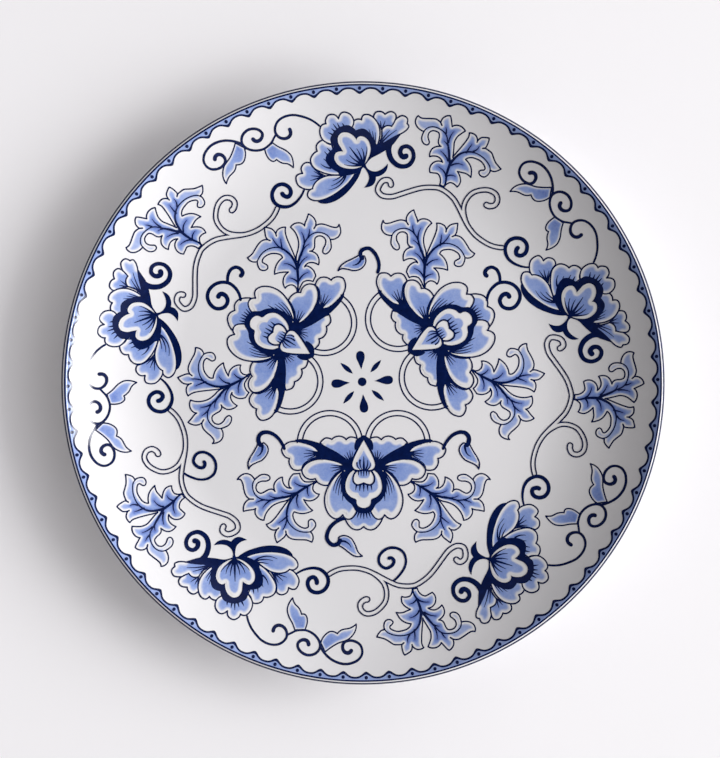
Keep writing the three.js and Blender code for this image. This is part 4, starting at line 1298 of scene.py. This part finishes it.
# Each lamp: its direction and height from the plate, in degrees, and its distance, in metres.
WINDOW_PLACE, WINDOW_SIZE, WINDOW_POWER = (-2, 28, 5.0), (3.6, 2.6), 215.0
GLEAM_PLACE, GLEAM_SIZE, GLEAM_POWER = (-3, 27, 1.7), (0.76, 0.52), 32.0
GLEAM_LAYERS, GLEAM_GAP = (0.76, 0.88, 1.0, 1.12), 0.01
DAYLIGHT = (1.0, 0.995, 0.985)
CAMERA_LENS, CAMERA_PLACE, CAMERA_REACH = 115.4, (-0.0013, 0.00171, 1.1), 20


def add_table():
    count = TABLE_SQUARES + 1
    rows = np.linspace(-TABLE_REACH, TABLE_REACH, count)
    points = np.array([(x, y, 0) for y in rows for x in rows])
    first = [count * r + c for r in range(TABLE_SQUARES) for c in range(TABLE_SQUARES)]
    faces = [(i, i + 1, i + count + 1, i + count) for i in first]
    table = mesh_object("table", points, faces)
    table.data.materials.append(
        plain_material("pale_table", TABLE_ROUGHNESS, TABLE_CLOUD, TABLE_STOPS)[0]
    )


def add_light(name, place, size, power):
    """A rectangular lamp of daylight that faces the plate."""
    data = bpy.data.lights.new(name, "AREA")
    data.shape = "RECTANGLE"
    data.size, data.size_y = size
    data.energy = power
    data.color = DAYLIGHT
    light = bpy.data.objects.new(name, data)
    light.location = place
    light.rotation_euler = (-Vector(place)).to_track_quat("-Z", "Y").to_euler()
    bpy.context.scene.collection.objects.link(light)
    return light


def add_room():
    """Soft light from all round: stronger from the window's side, dark straight above, and
    dimmer in reflections, so that the dark ink stays dark under its gloss."""
    world = bpy.data.worlds.new("soft_room")
    world.use_nodes = True
    tree = world.node_tree
    glow = tree.nodes["Background"]
    parts = tree.nodes.new("ShaderNodeSeparateXYZ")
    around = tree.nodes.new("ShaderNodeTexCoord").outputs["Generated"]
    tree.links.new(around, parts.inputs["Vector"])
    low, high = ROOM_LIGHT * (1 - ROOM_SLANT), ROOM_LIGHT * (1 + ROOM_SLANT)
    ceiling = stepped(tree, parts.outputs["Z"], CEILING_FROM, CEILING_TO, 1.0, CEILING_LIGHT)
    slant = stepped(tree, parts.outputs["X"], -1.0, 1.0, low, high)
    gloss = tree.nodes.new("ShaderNodeLightPath").outputs["Is Glossy Ray"]
    seen = stepped(tree, gloss, 0.0, 1.0, 1.0, ROOM_IN_GLAZE)
    tree.links.new(times(tree, times(tree, ceiling, slant), seen), glow.inputs["Strength"])
    across = stepped(tree, parts.outputs["X"], -1.0, 1.0, 0.0, 1.0)
    tree.links.new(ramp(tree, across, (0.0, ROOM_LEFT), (1.0, ROOM_RIGHT)), glow.inputs["Color"])
    bpy.context.scene.world = world


def toward(azimuth, elevation, distance):
    """A place in metres, from two angles in degrees and the distance."""
    turn, rise = math.radians(azimuth), math.radians(elevation)
    level = distance * math.cos(rise)
    return level * math.cos(turn), level * math.sin(turn), distance * math.sin(rise)


def add_studio():
    """The room, a window that lights without showing in the glaze, and its reflection: layers
    that show only in the glaze, each a little larger, so that the reflection has a soft edge."""
    scene = bpy.context.scene
    add_room()
    window = add_light("window", toward(*WINDOW_PLACE), WINDOW_SIZE, WINDOW_POWER)
    window.visible_glossy = False
    azimuth, elevation, distance = GLEAM_PLACE
    for i, share in enumerate(GLEAM_LAYERS):
        size = [share * side for side in GLEAM_SIZE]
        power = GLEAM_POWER * share**2 / len(GLEAM_LAYERS)
        place = toward(azimuth, elevation, distance + GLEAM_GAP * i)
        add_light(f"window_gleam_{i + 1}", place, size, power).visible_diffuse = False
    lens = bpy.data.cameras.new("camera")
    lens.lens = CAMERA_LENS
    lens.clip_end = CAMERA_REACH
    camera = bpy.data.objects.new("camera", lens)
    camera.location = CAMERA_PLACE
    scene.collection.objects.link(camera)
    scene.camera = camera
    scene.view_settings.view_transform = "Standard"


add_plate()
add_rim()
add_rosette()
add_centre()
add_border()
add_table()
add_studio()
